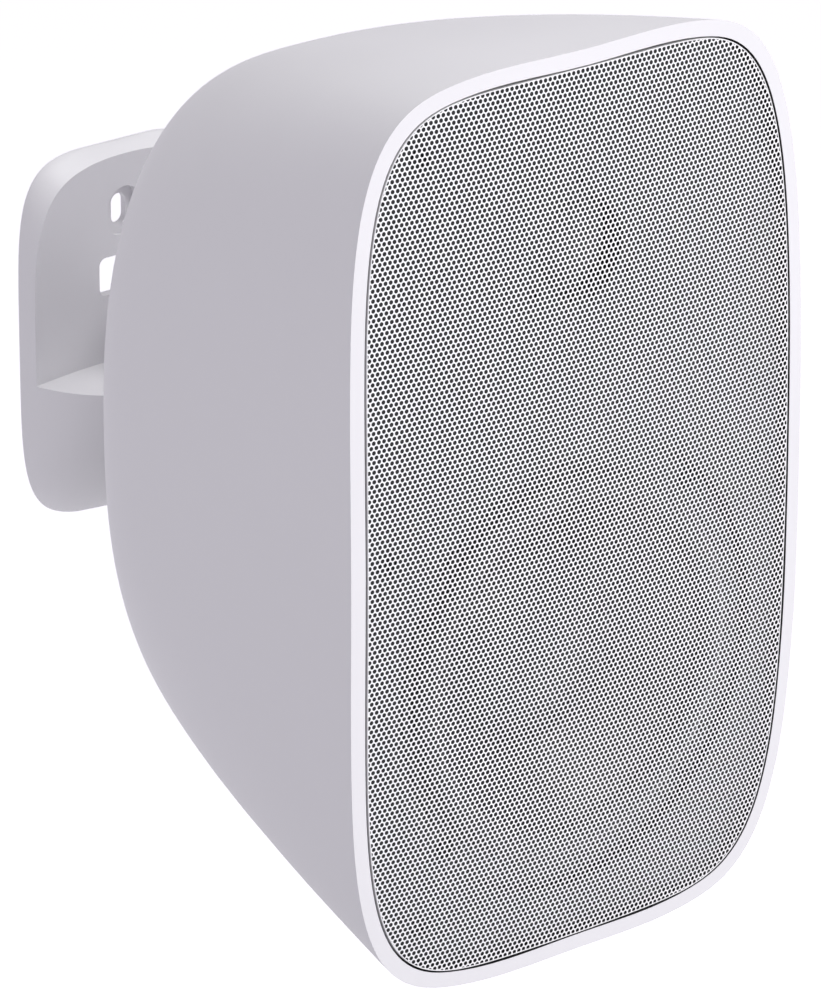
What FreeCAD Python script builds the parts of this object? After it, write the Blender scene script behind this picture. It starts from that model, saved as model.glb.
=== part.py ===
"""Wall-mount active loudspeaker: a white moulded cabinet with a domed perforated grille, a woofer, a tweeter
and a built-in amplifier, carried by a swivel arm on a wall bracket.

Millimetres. The wall is the plane Y = 0, the speaker faces -Y, +Z is up, and the origin lies on the bracket's
back, level with the cabinet's middle. "Depth" is measured backwards from the foremost point of the front.
"""
import FreeCAD, Part
import math
import os

V = FreeCAD.Vector

# Cabinet: a superellipse front that tapers to a rounder, flat rear face.
cabinet_width = 172.0
cabinet_height = 280.0
cabinet_depth = 151.0
rear_width = 112.0
rear_height = 196.0
rear_gap = 75.0
cabinet_wall = 3.5
front_power_x = 5.9
front_power_z = 4.33
rear_power = 2.4
side_slope = 0.15
side_reach = 0.76
side_turn = 21.0
top_slope = 0.14
top_reach = 0.64
top_turn = 9.0
crown_radius_x = 754.0
crown_radius_z = 1900.0
crown_drop = 5.0

# Grille pocket, ledge and baffle.
bezel_width = 4.8
pocket_depth = 15.0
ledge_width = 5.2
ledge_thickness = 4.0
grille_gap = 0.6
grille_thickness = 1.0
grille_skirt = 1.0
grille_pitch = 19.6
grille_open_share = 0.38
grille_border = 5.0
baffle_setback = 4.2
baffle_fit = 0.4
baffle_wall = 3.5
baffle_rim = 7.0
baffle_gasket_thickness = 1.0
baffle_gasket_width = 4.0
baffle_screw_side = 29.5
baffle_screw_end = 22.0
baffle_side_screw_inset = 15.2
baffle_boss_radius = 4.6
baffle_boss_length = 20.0
baffle_rib_thickness = 3.0

# Screws shared by the whole object: shank radius, head radius and head height.
screw_radius = 1.5
screw_head_radius = 3.0
screw_head_top = 2.2
screw_head_height = 2.0
screw_clearance = 0.25
pilot_clearance = 0.05
screw_length = 14.0

# Woofer.
woofer_rise = 90.0
woofer_front = 11.0
woofer_flange_radius = 69.0
woofer_flange_thickness = 3.0
woofer_recess_fit = 0.4
woofer_gasket_thickness = 1.0
woofer_hole_radius = 61.0
woofer_ring_radius = 74.0
woofer_ring_depth = 20.0
woofer_screw_circle = 65.8
woofer_screw_count = 4
surround_outer = 60.0
surround_inner = 50.6
surround_thickness = 0.8
surround_land = 2.4
cone_thickness = 0.7
cone_dish = 30.0
dust_cap_radius = 30.4
dust_cap_rise = 9.0
dust_cap_thickness = 0.6
coil_radius = 13.0
coil_former_thickness = 0.3
coil_winding_thickness = 0.6
coil_winding_length = 9.0
coil_gap = 0.45
coil_tail = 1.5
frame_wall = 1.6
frame_window_count = 6
frame_window_angle = 38.0
spider_depth = 46.0
spider_radius = 33.0
spider_ripple = 1.6
spider_ripples = 4
spider_thickness = 0.6
spider_land = 3.0
frame_plate_depth = 57.0
top_plate_radius = 36.0
top_plate_thickness = 5.0
magnet_radius = 40.0
magnet_bore = 22.0
magnet_thickness = 15.0
back_plate_radius = 36.0
back_plate_thickness = 5.0
moving_clearance = 0.3

# Tweeter.
tweeter_drop = 60.0
tweeter_opening_radius = 15.8
tweeter_boss_radius = 27.0
tweeter_boss_depth = 14.0
tweeter_plate_radius = 24.5
tweeter_plate_thickness = 3.0
tweeter_dome_radius = 12.7
tweeter_dome_rise = 4.5
tweeter_film = 0.5
tweeter_land = 2.4
tweeter_magnet_radius = 17.0
tweeter_magnet_length = 16.0
tweeter_screw_circle = 20.4
tweeter_screw_count = 3
tweeter_screw_length = 9.0

# Crossover board behind the baffle, between the two drivers.
crossover_drop = 101.0
crossover_width = 64.0
crossover_height = 20.0
crossover_depth = 21.0
crossover_post_x = 28.0
crossover_post_radius = 2.6
board_thickness = 1.6
crossover_coil_radius = 9.0
crossover_coil_bore = 4.0
crossover_coil_height = 10.0
crossover_coil_x = -14.0
crossover_capacitor_radius = 5.0
crossover_capacitor_length = 18.0
crossover_capacitor_x = 11.0

# Connector panel on the rear face.
panel_width = 70.0
panel_height = 46.0
panel_rise = 41.0
panel_thickness = 2.0
panel_corner = 5.0
panel_gasket_thickness = 1.0
panel_window_margin = 6.0
panel_window_corner = 3.0
panel_screw_margin = 3.2
panel_boss_radius = 3.4
panel_boss_length = 9.0
panel_screw_length = 10.0
inlet_x = -17.0
inlet_z = -10.5
inlet_width = 19.4
inlet_height = 10.4
inlet_length = 18.0
inlet_lip = 2.2
inlet_lip_thickness = 2.0
inlet_cavity_width = 14.0
inlet_cavity_height = 7.6
inlet_cavity_depth = 12.0
inlet_pin_radius = 1.2
inlet_pin_spacing = 8.6
inlet_pin_length = 9.0
insert_fit = 0.2
switch_x = -17.0
switch_z = 8.5
switch_width = 20.0
switch_height = 12.6
switch_length = 15.0
switch_lip = 1.4
switch_lip_thickness = 1.6
rocker_width = 14.0
rocker_height = 8.0
rocker_thickness = 5.0
rocker_valley = 1.6
rocker_throw = 16.0
rocker_pin_radius = 1.0
rocker_pin_length = 1.4
rocker_side_gap = 0.5
rocker_end_gap = 1.1
running_fit = 0.05
volume_x = 4.0
volume_z = 7.5
pot_radius = 8.0
pot_length = 9.0
pot_bushing_radius = 3.6
pot_bushing_length = 4.0
pot_shaft_radius = 2.4
pot_shaft_length = 13.0
knob_radius = 7.2
knob_top_radius = 6.4
knob_cap = 2.0
knob_grooves = 12
knob_groove_radius = 0.7
knob_index_depth = 0.6
jack_x = 1.5
jack_spacing = 12.0
jack_z = -10.0
jack_flange_radius = 5.4
jack_flange_thickness = 1.6
jack_barrel_radius = 4.15
jack_barrel_length = 8.5
jack_bore_radius = 1.7
jack_body_radius = 4.6
jack_body_length = 9.0
socket_x = 21.5
socket_z = 8.0
socket_width = 12.0
socket_height = 10.0
socket_length = 12.0
socket_lip = 1.2
socket_lip_thickness = 1.5
socket_wall = 1.2
socket_cavity_depth = 10.0
socket_pin_radius = 0.6
socket_pin_spacing = 5.0
socket_pin_length = 4.0

# Amplifier board on pillars behind the panel, and the mains transformer on the rear wall.
amp_width = 55.0
amp_height = 31.0
amp_standoff = 24.0
amp_pillar_radius = 2.4
amp_pillars = [(-24.6, -1.0), (24.0, -12.6)]
sink_width = 28.0
sink_height = 22.0
sink_base = 3.0
sink_fin_length = 12.0
sink_fin_thickness = 1.6
sink_fin_count = 5
sink_x = -10.0
amp_capacitor_radius = 5.5
amp_capacitor_length = 20.0
amp_capacitor_x = 15.0
amp_capacitor_spacing = 13.0
transformer_drop = 40.0
transformer_radius = 29.0
transformer_bore = 9.0
transformer_height = 26.0
transformer_round = 5.0
transformer_boss_radius = 7.0
transformer_washer_radius = 18.0
transformer_washer_thickness = 1.6
transformer_bolt_radius = 2.5
transformer_bolt_head_radius = 4.5
transformer_bolt_head_height = 3.5

# Wall bracket: half of an upright post against the wall, scooped above its shelf and hollow below it.
bracket_width = 74.8
bracket_height = 119.2
bracket_depth = 38.5
bracket_z = -3.3
bracket_power = 4.55
bracket_depth_power = 1.7
bracket_plate = 3.6
scoop_radius_x = 176.0
scoop_radius_z = 200.0
scoop_flat_z = 14.0
shelf_z = -14.4
bulge_wall = 4.0
bulge_rib_thickness = 3.0
bulge_rib_x = 13.0
slot_z = 34.3
lower_slot_z = -42.7
slot_radius = 2.75
slot_length = 10.0
slot_recess_radius = 6.0
slot_recess_depth = 1.4
slot_tube_wall = 2.5
cable_z = 13.6
cable_width = 17.6
cable_height = 12.4
cable_corner = 2.5

# Swivel arm and yoke.
pan_y = -22.0
pan_bolt_radius = 3.0
hub_radius = 11.0
hub_height = 22.0
pan_gap = 0.3
boss_radius = 9.0
boss_length = 5.0
bolt_head_radius = 5.0
bolt_head_height = 5.5
washer_radius = 6.5
washer_thickness = 1.2
nut_flats = 10.0
nut_height = 5.0
tilt_reach = 18.0
tilt_z = -4.0
tilt_bolt_radius = 3.0
eye_radius = 11.0
eye_width = 18.0
arm_width = 13.0
arm_height = 16.0
arm_edge = 2.0
tilt_gap = 0.3
yoke_width = 46.0
yoke_height = 52.0
yoke_base = 5.0
yoke_corner = 8.0
lug_thickness = 5.5
lug_foot = 34.0
yoke_screw_x = 17.5
yoke_screw_z = 20.0
yoke_boss_radius = 4.6
yoke_boss_length = 10.0

rear_y = -rear_gap
front_y = rear_y - cabinet_depth
panel_face_y = rear_y + panel_gasket_thickness + panel_thickness
panel_back_y = rear_y + panel_gasket_thickness
inner_rear_y = rear_y - cabinet_wall
baffle_screw_x = cabinet_width / 2 - baffle_screw_side
baffle_screw_z = cabinet_height / 2 - baffle_screw_end
baffle_side_screw_x = cabinet_width / 2 - baffle_side_screw_inset
woofer_z = -cabinet_height / 2 + woofer_rise
tweeter_z = cabinet_height / 2 - tweeter_drop
crossover_z = cabinet_height / 2 - crossover_drop
panel_z = -rear_height / 2 + panel_rise
transformer_z = rear_height / 2 - transformer_drop
tilt_y = rear_y + tilt_reach


def superellipse(half_x, half_z, power_x, power_z, y, centre_z=0.0, count=32):
    """Closed smooth outline |x/half_x|^power_x + |z/half_z|^power_z = 1 in the plane Y = y."""
    points = []
    for step in range(count):
        angle = 2.0 * math.pi * step / count
        cosine = math.cos(angle)
        sine = math.sin(angle)
        x = half_x * math.copysign(abs(cosine) ** (2.0 / power_x), cosine)
        z = half_z * math.copysign(abs(sine) ** (2.0 / power_z), sine)
        points.append(V(x, y, centre_z + z))
    upwards = V(0, 0, 1)
    curve = Part.BSplineCurve()
    curve.interpolate(Points=points + points[:1], InitialTangent=upwards, FinalTangent=upwards)
    return Part.Wire([curve.toShape()])


def front_prism(half_x, half_z, y_start, y_end):
    """Prism along Y with the front's superellipse outline."""
    outline = superellipse(half_x, half_z, front_power_x, front_power_z, y_start)
    return Part.Face(outline).extrude(V(0, y_end - y_start, 0))


def disc(x, z, y_start, y_end, radius):
    """Cylinder along Y between two planes."""
    base = V(x, min(y_start, y_end), z)
    return Part.makeCylinder(radius, abs(y_end - y_start), base, V(0, 1, 0))


def tube(x, z, y_start, y_end, outer, inner):
    """Hollow cylinder along Y."""
    return disc(x, z, y_start, y_end, outer).cut(disc(x, z, y_start, y_end, inner))


def block(x, z, width, height, y_start, y_end, corner=0.0):
    """Box along Y centred on (x, z), with its four long edges rounded by the corner radius."""
    low = min(y_start, y_end)
    box = Part.makeBox(width, abs(y_end - y_start), height, V(x - width / 2, low, z - height / 2))
    if corner > 0:
        edges = [e for e in box.Edges if abs(e.tangentAt(e.FirstParameter).y) > 0.99]
        box = box.makeFillet(corner, edges)
    return box


def obround(x, z, radius, length, y_start, y_end):
    """Vertical slot prism of a full length: two half circles of the radius joined by straight sides."""
    half = length / 2 - radius
    middle = block(x, z, 2 * radius, 2 * half, y_start, y_end)
    ends = [disc(x, z + half, y_start, y_end, radius), disc(x, z - half, y_start, y_end, radius)]
    return middle.fuse(ends).removeSplitter()


def turned(points, z, angle=360.0):
    """Solid turned about the driver axis (X = 0, the given Z) from (radius, depth) corners."""
    corners = [V(radius, front_y + depth, z) for radius, depth in points]
    face = Part.Face(Part.makePolygon(corners + corners[:1]))
    return face.revolve(V(0, 0, z), V(0, 1, 0), angle)


def arc_through(start, rise, end):
    """Points (radius, depth) on the arc from start to end whose middle stands off the chord by rise."""
    chord = math.hypot(end[0] - start[0], end[1] - start[1])
    radius = (chord * chord / 4 + rise * rise) / (2 * abs(rise))
    half = math.asin(min(1.0, chord / 2 / radius))
    if abs(rise) > chord / 2:
        half = math.pi - half
    ux = (end[0] - start[0]) / chord
    uy = (end[1] - start[1]) / chord
    middle = ((start[0] + end[0]) / 2, (start[1] + end[1]) / 2)
    side = math.copysign(1.0, rise)
    points = []
    for step in range(9):
        turn = -half + 2 * half * step / 8
        along = radius * math.sin(turn)
        off = side * (radius * math.cos(turn) - radius + abs(rise))
        points.append((middle[0] + ux * along + uy * off, middle[1] + uy * along - ux * off))
    return points


def hexagon_prism(centre, axis, flats, height):
    """Hexagonal prism standing on its centre point along the axis."""
    wire = []
    normal = V(axis)
    first = V(0, 0, 1) if abs(normal.z) < 0.5 else V(1, 0, 0)
    second = normal.cross(first)
    radius = flats / math.sqrt(3.0)
    for step in range(7):
        angle = math.pi * step / 3
        wire.append(centre + first * (radius * math.cos(angle)) + second * (radius * math.sin(angle)))
    return Part.Face(Part.makePolygon(wire)).extrude(normal * height)


def screw(x, z, seat_y, length, into=1.0):
    """Pan-head screw along Y: the head stands on seat_y, the shank runs into the piece along into * Y."""
    seat = V(x, seat_y, z)
    head = Part.makeCone(screw_head_radius, screw_head_top, screw_head_height, seat, V(0, -into, 0))
    shank = disc(x, z, seat_y, seat_y + into * length, screw_radius)
    return head.fuse(shank)


def bezier(points, t):
    """Point of a cubic Bezier curve."""
    a = (1 - t) ** 3
    b = 3 * t * (1 - t) ** 2
    c = 3 * t * t * (1 - t)
    d = t ** 3
    depth = a * points[0][0] + b * points[1][0] + c * points[2][0] + d * points[3][0]
    size = a * points[0][1] + b * points[1][1] + c * points[2][1] + d * points[3][1]
    return depth, size


def size_at(depth, front, rear, slope, reach, turn):
    """Half size of the body at a depth: it leaves the front rim on a slope and rolls on to the rear face."""
    run = cabinet_depth - crown_drop
    points = [(0, front), (reach * run, front - slope * reach * run), (run, rear + turn), (run, rear)]
    target = depth - crown_drop
    if target <= 0:
        return front - slope * target
    low = 0.0
    high = 1.0
    for step in range(50):
        middle = (low + high) / 2
        if bezier(points, middle)[0] < target:
            low = middle
        else:
            high = middle
    return bezier(points, high)[1]


def body_loft(inset, start):
    """Tapering body from the start depth to the rear, inset by a wall thickness on its sides and rear."""
    end = cabinet_depth - inset
    wires = []
    for share in (0.0, 0.1, 0.25, 0.42, 0.58, 0.72, 0.83, 0.91, 0.96, 0.985, 0.997, 1.0):
        depth = start + (end - start) * share
        outer = depth * cabinet_depth / end
        half_x = size_at(outer, cabinet_width / 2, rear_width / 2, side_slope, side_reach, side_turn)
        half_z = size_at(outer, cabinet_height / 2, rear_height / 2, top_slope, top_reach, top_turn)
        blend = outer / cabinet_depth
        power_x = front_power_x + (rear_power - front_power_x) * blend
        power_z = front_power_z + (rear_power - front_power_z) * blend
        wires.append(superellipse(half_x - inset, half_z - inset, power_x, power_z, front_y + depth))
    return Part.makeLoft(wires, True, False)


def behind_crown(depth, length):
    """Block behind the domed front, moved back by a depth: an arc across, swept on a larger arc upright."""
    half = cabinet_width
    apex = front_y + depth
    drop = crown_radius_x - math.sqrt(crown_radius_x ** 2 - half ** 2)
    left = V(-half, apex + drop, 0)
    right = V(half, apex + drop, 0)
    arc = Part.Arc(left, V(0, apex, 0), right).toShape()
    rest = Part.makePolygon([right, V(half, apex + length, 0), V(-half, apex + length, 0), left])
    face = Part.Face(Part.Wire([arc] + rest.Edges))
    swing = math.degrees(math.asin(cabinet_height * 0.6 / crown_radius_z))
    pivot = V(0, apex + crown_radius_z, 0)
    face.rotate(pivot, V(1, 0, 0), -swing)
    return face.revolve(pivot, V(1, 0, 0), 2 * swing)


def crown_sag(x, z):
    """How far the domed front lies behind its foremost point."""
    across = crown_radius_x - math.sqrt(crown_radius_x ** 2 - x * x)
    return across + crown_radius_z - math.sqrt(crown_radius_z ** 2 - z * z)


def ring_points(radius, count, start_degrees):
    """Evenly spaced (x, z) offsets on a circle."""
    points = []
    for step in range(count):
        angle = math.radians(start_degrees + 360.0 * step / count)
        points.append((radius * math.cos(angle), radius * math.sin(angle)))
    return points


pocket_x = cabinet_width / 2 - bezel_width
pocket_z = cabinet_height / 2 - bezel_width
opening_x = pocket_x - ledge_width
opening_z = pocket_z - ledge_width
ledge_y = front_y + pocket_depth
baffle_back_y = ledge_y - baffle_gasket_thickness
baffle_screws_xz = [(sx * baffle_screw_x, sz * baffle_screw_z) for sx in (-1, 1) for sz in (-1, 1)]
baffle_screws_xz += [(-baffle_side_screw_x, 0.0), (baffle_side_screw_x, 0.0)]
panel_window_x = panel_width - 2 * panel_window_margin
panel_window_z = panel_height - 2 * panel_window_margin
panel_screw_x = panel_width / 2 - panel_screw_margin
panel_screw_z = panel_height / 2 - panel_screw_margin
panel_screws_xz = [(sx * panel_screw_x, panel_z + sz * panel_screw_z) for sx in (-1, 1) for sz in (-1, 1)]
yoke_screws_xz = [(sx * yoke_screw_x, tilt_z + sz * yoke_screw_z) for sx in (-1, 1) for sz in (-1, 1)]
pilot_radius = screw_radius + pilot_clearance
passage_radius = screw_radius + screw_clearance


def make_cabinet():
    """Moulded shell: domed rim, grille pocket, baffle ledge, screw bosses and a rear wall with openings."""
    shell = body_loft(0.0, 0.0).common(behind_crown(0.0, cabinet_depth * 2))
    shell = shell.cut(front_prism(pocket_x, pocket_z, front_y - 1, ledge_y))
    shell = shell.cut(front_prism(opening_x, opening_z, ledge_y - 1, ledge_y + ledge_thickness + 1))
    cavity = body_loft(cabinet_wall, pocket_depth + ledge_thickness)
    shell = shell.cut(cavity)
    inside_wall = body_loft(cabinet_wall / 2, pocket_depth)
    stems = []
    for x, z in baffle_screws_xz:
        reach = cabinet_width / 2 - abs(x)
        stems.append(disc(x, z, ledge_y, ledge_y + baffle_boss_length, baffle_boss_radius))
        stems.append(block(x + math.copysign(reach / 2, x), z, reach, baffle_rib_thickness, ledge_y,
                           ledge_y + baffle_boss_length))
    added = [Part.makeCompound(stems).common(inside_wall)]
    for x, z in yoke_screws_xz:
        added.append(disc(x, z, rear_y - 1, inner_rear_y - yoke_boss_length, yoke_boss_radius))
    for x, z in panel_screws_xz:
        added.append(disc(x, z, rear_y - 1, inner_rear_y - panel_boss_length, panel_boss_radius))
    boss_end = inner_rear_y - transformer_height / 2
    added.append(disc(0, transformer_z, rear_y - 1, boss_end, transformer_boss_radius))
    shell = shell.fuse(added)
    baffle_end = ledge_y + baffle_boss_length - 2
    yoke_end = inner_rear_y - yoke_boss_length + 2
    panel_end = inner_rear_y - panel_boss_length + 2
    holes = [disc(x, z, ledge_y - 1, baffle_end, pilot_radius) for x, z in baffle_screws_xz]
    holes += [disc(x, z, rear_y + 1, yoke_end, pilot_radius) for x, z in yoke_screws_xz]
    holes += [disc(x, z, rear_y + 1, panel_end, pilot_radius) for x, z in panel_screws_xz]
    holes.append(disc(0, transformer_z, inner_rear_y, inner_rear_y - transformer_height,
                      transformer_bolt_radius + pilot_clearance))
    holes.append(block(0, panel_z, panel_window_x, panel_window_z, rear_y + 1, inner_rear_y - 1,
                       panel_window_corner))
    return shell.cut(holes)


def make_baffle():
    """Domed plate behind the grille, with a flat rim, a woofer ring, a tweeter boss and crossover posts."""
    half_x = pocket_x - baffle_fit
    half_z = pocket_z - baffle_fit
    plate = front_prism(half_x, half_z, front_y, baffle_back_y)
    hollow = front_prism(half_x - baffle_rim, half_z - baffle_rim, front_y, baffle_back_y + 1)
    plate = plate.cut(hollow.common(behind_crown(baffle_setback + baffle_wall, cabinet_depth)))
    seat = woofer_front + woofer_flange_thickness + woofer_gasket_thickness
    added = [disc(0, woofer_z, front_y, front_y + woofer_ring_depth, woofer_ring_radius)]
    added.append(disc(0, tweeter_z, front_y, front_y + tweeter_boss_depth, tweeter_boss_radius))
    for side in (-1, 1):
        added.append(disc(side * crossover_post_x, crossover_z, front_y, front_y + crossover_depth,
                          crossover_post_radius))
    plate = plate.fuse(added).common(behind_crown(baffle_setback, cabinet_depth))
    cuts = [disc(0, woofer_z, front_y, front_y + seat, woofer_flange_radius + woofer_recess_fit)]
    cuts.append(disc(0, woofer_z, front_y, front_y + woofer_ring_depth + 1, woofer_hole_radius))
    cuts.append(disc(0, tweeter_z, front_y, front_y + tweeter_boss_depth + 1, tweeter_opening_radius))
    for x, z in baffle_screws_xz:
        cuts.append(disc(x, z, front_y, baffle_back_y + 1, passage_radius))
        cuts.append(disc(x, z, front_y, baffle_seat_y(x, z), screw_head_radius + screw_clearance))
    for x, z in ring_points(woofer_screw_circle, woofer_screw_count, 45.0):
        cuts.append(disc(x, woofer_z + z, front_y, front_y + woofer_ring_depth - 1, pilot_radius))
    for x, z in ring_points(tweeter_screw_circle, tweeter_screw_count, 90.0):
        hole_y = front_y + tweeter_boss_depth
        cuts.append(disc(x, tweeter_z + z, hole_y + 1, hole_y - tweeter_screw_length, pilot_radius))
    return plate.cut(cuts)


def baffle_seat_y(x, z):
    """Plane that a baffle screw's head stands on: flush with the domed face at that place."""
    return front_y + crown_sag(x, z) + baffle_setback + screw_head_height * 0.6


def make_baffle_gasket():
    """Sealing strip between the baffle's rim and the cabinet's ledge."""
    outer = front_prism(pocket_x - baffle_fit, pocket_z - baffle_fit, baffle_back_y, ledge_y)
    inset = baffle_fit + baffle_gasket_width
    strip = outer.cut(front_prism(pocket_x - inset, pocket_z - inset, baffle_back_y - 1, ledge_y + 1))
    return strip.cut([disc(x, z, baffle_back_y - 1, ledge_y + 1, passage_radius) for x, z in baffle_screws_xz])


def make_grille():
    """Domed perforated sheet with a folded skirt that stands on the baffle."""
    half_x = pocket_x - grille_gap
    half_z = pocket_z - grille_gap
    body = front_prism(half_x, half_z, front_y, baffle_back_y)
    inside = front_prism(half_x - grille_skirt, half_z - grille_skirt, front_y, baffle_back_y)
    sheet = body.common(behind_crown(0.0, cabinet_depth))
    sheet = sheet.cut(inside.common(behind_crown(grille_thickness, cabinet_depth)))
    sheet = sheet.cut(behind_crown(baffle_setback - screw_clearance, cabinet_depth))
    flats = grille_pitch * math.sqrt(grille_open_share)
    row_step = grille_pitch * math.sqrt(3.0) / 2
    limit_x = half_x - grille_border - flats / 2
    limit_z = half_z - grille_border - flats / 2
    holes = []
    rows = int(half_z / row_step)
    columns = int(half_x / grille_pitch) + 1
    for row in range(-rows, rows + 1):
        for column in range(-columns, columns + 1):
            x = (column + 0.5 * (row % 2)) * grille_pitch
            z = row * row_step
            if abs(x / limit_x) ** front_power_x + abs(z / limit_z) ** front_power_z <= 1.0:
                holes.append(hexagon_prism(V(x, front_y - 1, z), V(0, 1, 0), flats, pocket_depth))
    return sheet.cut(holes)


def make_woofer_frame():
    """Pressed basket: flange, ribbed cone with windows, spider land and the plate that the magnet hangs on."""
    flange_back = woofer_front + woofer_flange_thickness
    hole = coil_radius + coil_winding_thickness + coil_gap + moving_clearance
    basket = turned([
        (surround_outer - surround_land, woofer_front), (woofer_flange_radius, woofer_front),
        (woofer_flange_radius, flange_back), (surround_outer, flange_back),
        (spider_radius + spider_land + frame_wall, spider_depth + frame_wall),
        (spider_radius + frame_wall, spider_depth + frame_wall),
        (spider_radius + frame_wall, frame_plate_depth), (hole, frame_plate_depth),
        (hole, frame_plate_depth - frame_wall), (spider_radius, frame_plate_depth - frame_wall),
        (spider_radius, spider_depth), (spider_radius + spider_land, spider_depth),
        (surround_outer - surround_land, flange_back - frame_wall)], woofer_z)
    step = 360.0 / frame_window_count
    ring = [(spider_radius + spider_land + 4, flange_back + 5), (woofer_flange_radius, flange_back + 5),
            (woofer_flange_radius, spider_depth - 5), (spider_radius + spider_land + 4, spider_depth - 5)]
    windows = []
    for index in range(frame_window_count):
        window = turned(ring, woofer_z, frame_window_angle)
        window.rotate(V(0, 0, woofer_z), V(0, 1, 0), index * step - frame_window_angle / 2)
        windows.append(window)
    holes = []
    for x, z in ring_points(woofer_screw_circle, woofer_screw_count, 45.0):
        holes.append(disc(x, woofer_z + z, front_y, front_y + woofer_ring_depth, passage_radius))
    return basket.cut(windows + holes)


def make_woofer_gasket():
    """Sealing ring under the woofer's flange."""
    start = front_y + woofer_front + woofer_flange_thickness
    ring = tube(0, woofer_z, start, start + woofer_gasket_thickness, woofer_flange_radius, woofer_hole_radius)
    holes = []
    for x, z in ring_points(woofer_screw_circle, woofer_screw_count, 45.0):
        holes.append(disc(x, woofer_z + z, start - 1, start + woofer_gasket_thickness + 1, passage_radius))
    return ring.cut(holes)


def make_surround():
    """Rubber half roll between the frame's flange and the cone's edge."""
    width = surround_outer - surround_inner
    front = woofer_front - surround_thickness
    inner_width = width - 2 * surround_thickness
    roll = arc_through((surround_inner, front), width * 0.45, (surround_outer, front))
    under_start = (surround_outer - surround_thickness, front + surround_thickness)
    under_end = (surround_inner + surround_thickness, front + surround_thickness)
    under = arc_through(under_start, -inner_width * 0.45, under_end)
    land = surround_outer + surround_land
    outline = roll + [(land, front), (land, front + surround_thickness)] + under
    outline += [(surround_inner, front + surround_thickness)]
    return turned(outline, woofer_z)


def cone_line():
    """Outer and neck corners of the cone's front face as (radius, depth)."""
    edge = (surround_inner - moving_clearance, woofer_front - surround_thickness)
    return edge, (coil_radius + coil_former_thickness + pilot_clearance, woofer_front + cone_dish)


def cone_depth_at(radius):
    """Depth of the cone's front face at a radius."""
    edge, neck = cone_line()
    return edge[1] + (edge[0] - radius) / (edge[0] - neck[0]) * (neck[1] - edge[1])


def make_cone():
    """Straight-sided cone from the surround's inner edge down to the coil former."""
    edge, neck = cone_line()
    along = cone_thickness * 1.4
    return turned([edge, (edge[0], edge[1] + along), (neck[0], neck[1] + along), neck], woofer_z)


def make_dust_cap():
    """Domed cap glued over the middle of the cone."""
    rim_depth = cone_depth_at(dust_cap_radius)
    apex = rim_depth - dust_cap_rise
    outer = arc_through((-dust_cap_radius, rim_depth), dust_cap_rise, (dust_cap_radius, rim_depth))[4:]
    inner_radius = dust_cap_radius - dust_cap_thickness
    inner_rise = dust_cap_rise - dust_cap_thickness
    inner = arc_through((-inner_radius, rim_depth), inner_rise, (inner_radius, rim_depth))[4:]
    outer[0] = (0.0, apex)
    inner[0] = (0.0, apex + dust_cap_thickness)
    return turned(outer + inner[::-1], woofer_z)


def make_spider():
    """Corrugated ring that centres the coil former on the frame."""
    start = coil_radius + coil_former_thickness + moving_clearance
    end = spider_radius + spider_land - 0.2
    base = spider_depth - spider_thickness
    count = spider_ripples * 8
    upper = []
    for step in range(count + 1):
        radius = start + (spider_radius - start) * step / count
        wave = math.sin(2 * math.pi * spider_ripples * step / count)
        upper.append((radius, base - spider_ripple / 2 * wave))
    upper.append((end, base))
    lower = [(radius, depth + spider_thickness) for radius, depth in reversed(upper)]
    return turned(upper + lower, woofer_z)


def make_voice_coil():
    """Coil former with its winding, hung in the magnet's gap."""
    top = woofer_front + cone_dish - coil_tail
    middle = frame_plate_depth + top_plate_thickness / 2
    wind_start = middle - coil_winding_length / 2
    wind_end = middle + coil_winding_length / 2
    outer = coil_radius + coil_former_thickness
    wound = outer + coil_winding_thickness
    return turned([(coil_radius, top), (outer, top), (outer, wind_start), (wound, wind_start),
                   (wound, wind_end), (coil_radius, wind_end)], woofer_z)


def make_top_plate():
    """Steel ring round the coil."""
    bore = coil_radius + coil_former_thickness + coil_winding_thickness + coil_gap
    start = front_y + frame_plate_depth
    return tube(0, woofer_z, start, start + top_plate_thickness, top_plate_radius, bore)


def make_magnet():
    """Ferrite ring magnet."""
    start = front_y + frame_plate_depth + top_plate_thickness
    return tube(0, woofer_z, start, start + magnet_thickness, magnet_radius, magnet_bore)


def make_back_plate():
    """Steel back plate with the pole that stands inside the coil."""
    start = front_y + frame_plate_depth + top_plate_thickness + magnet_thickness
    plate = disc(0, woofer_z, start, start + back_plate_thickness, back_plate_radius)
    pole = disc(0, woofer_z, front_y + frame_plate_depth, start, coil_radius - coil_gap)
    return plate.fuse(pole).removeSplitter()


def make_tweeter_plate():
    """Mounting plate on the back of the baffle's tweeter boss."""
    start = front_y + tweeter_boss_depth
    back = start + tweeter_plate_thickness
    plate = tube(0, tweeter_z, start, back, tweeter_plate_radius, tweeter_dome_radius)
    holes = []
    for x, z in ring_points(tweeter_screw_circle, tweeter_screw_count, 90.0):
        holes.append(disc(x, tweeter_z + z, start - 1, back + 1, passage_radius))
    return plate.cut(holes)


def make_tweeter_dome():
    """Soft dome and its edge, one film."""
    base = tweeter_boss_depth
    outer = arc_through((-tweeter_dome_radius, base - tweeter_film), tweeter_dome_rise,
                        (tweeter_dome_radius, base - tweeter_film))[4:]
    inner_radius = tweeter_dome_radius - tweeter_film
    inner = arc_through((-inner_radius, base), tweeter_dome_rise, (inner_radius, base))[4:]
    outer[0] = (0.0, outer[0][1])
    inner[0] = (0.0, inner[0][1])
    edge = tweeter_dome_radius + tweeter_land
    return turned(outer + [(edge, base - tweeter_film), (edge, base)] + inner[::-1], tweeter_z)


def make_tweeter_magnet():
    """Magnet cup behind the tweeter's plate."""
    start = front_y + tweeter_boss_depth + tweeter_plate_thickness
    return disc(0, tweeter_z, start, start + tweeter_magnet_length, tweeter_magnet_radius)


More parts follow.
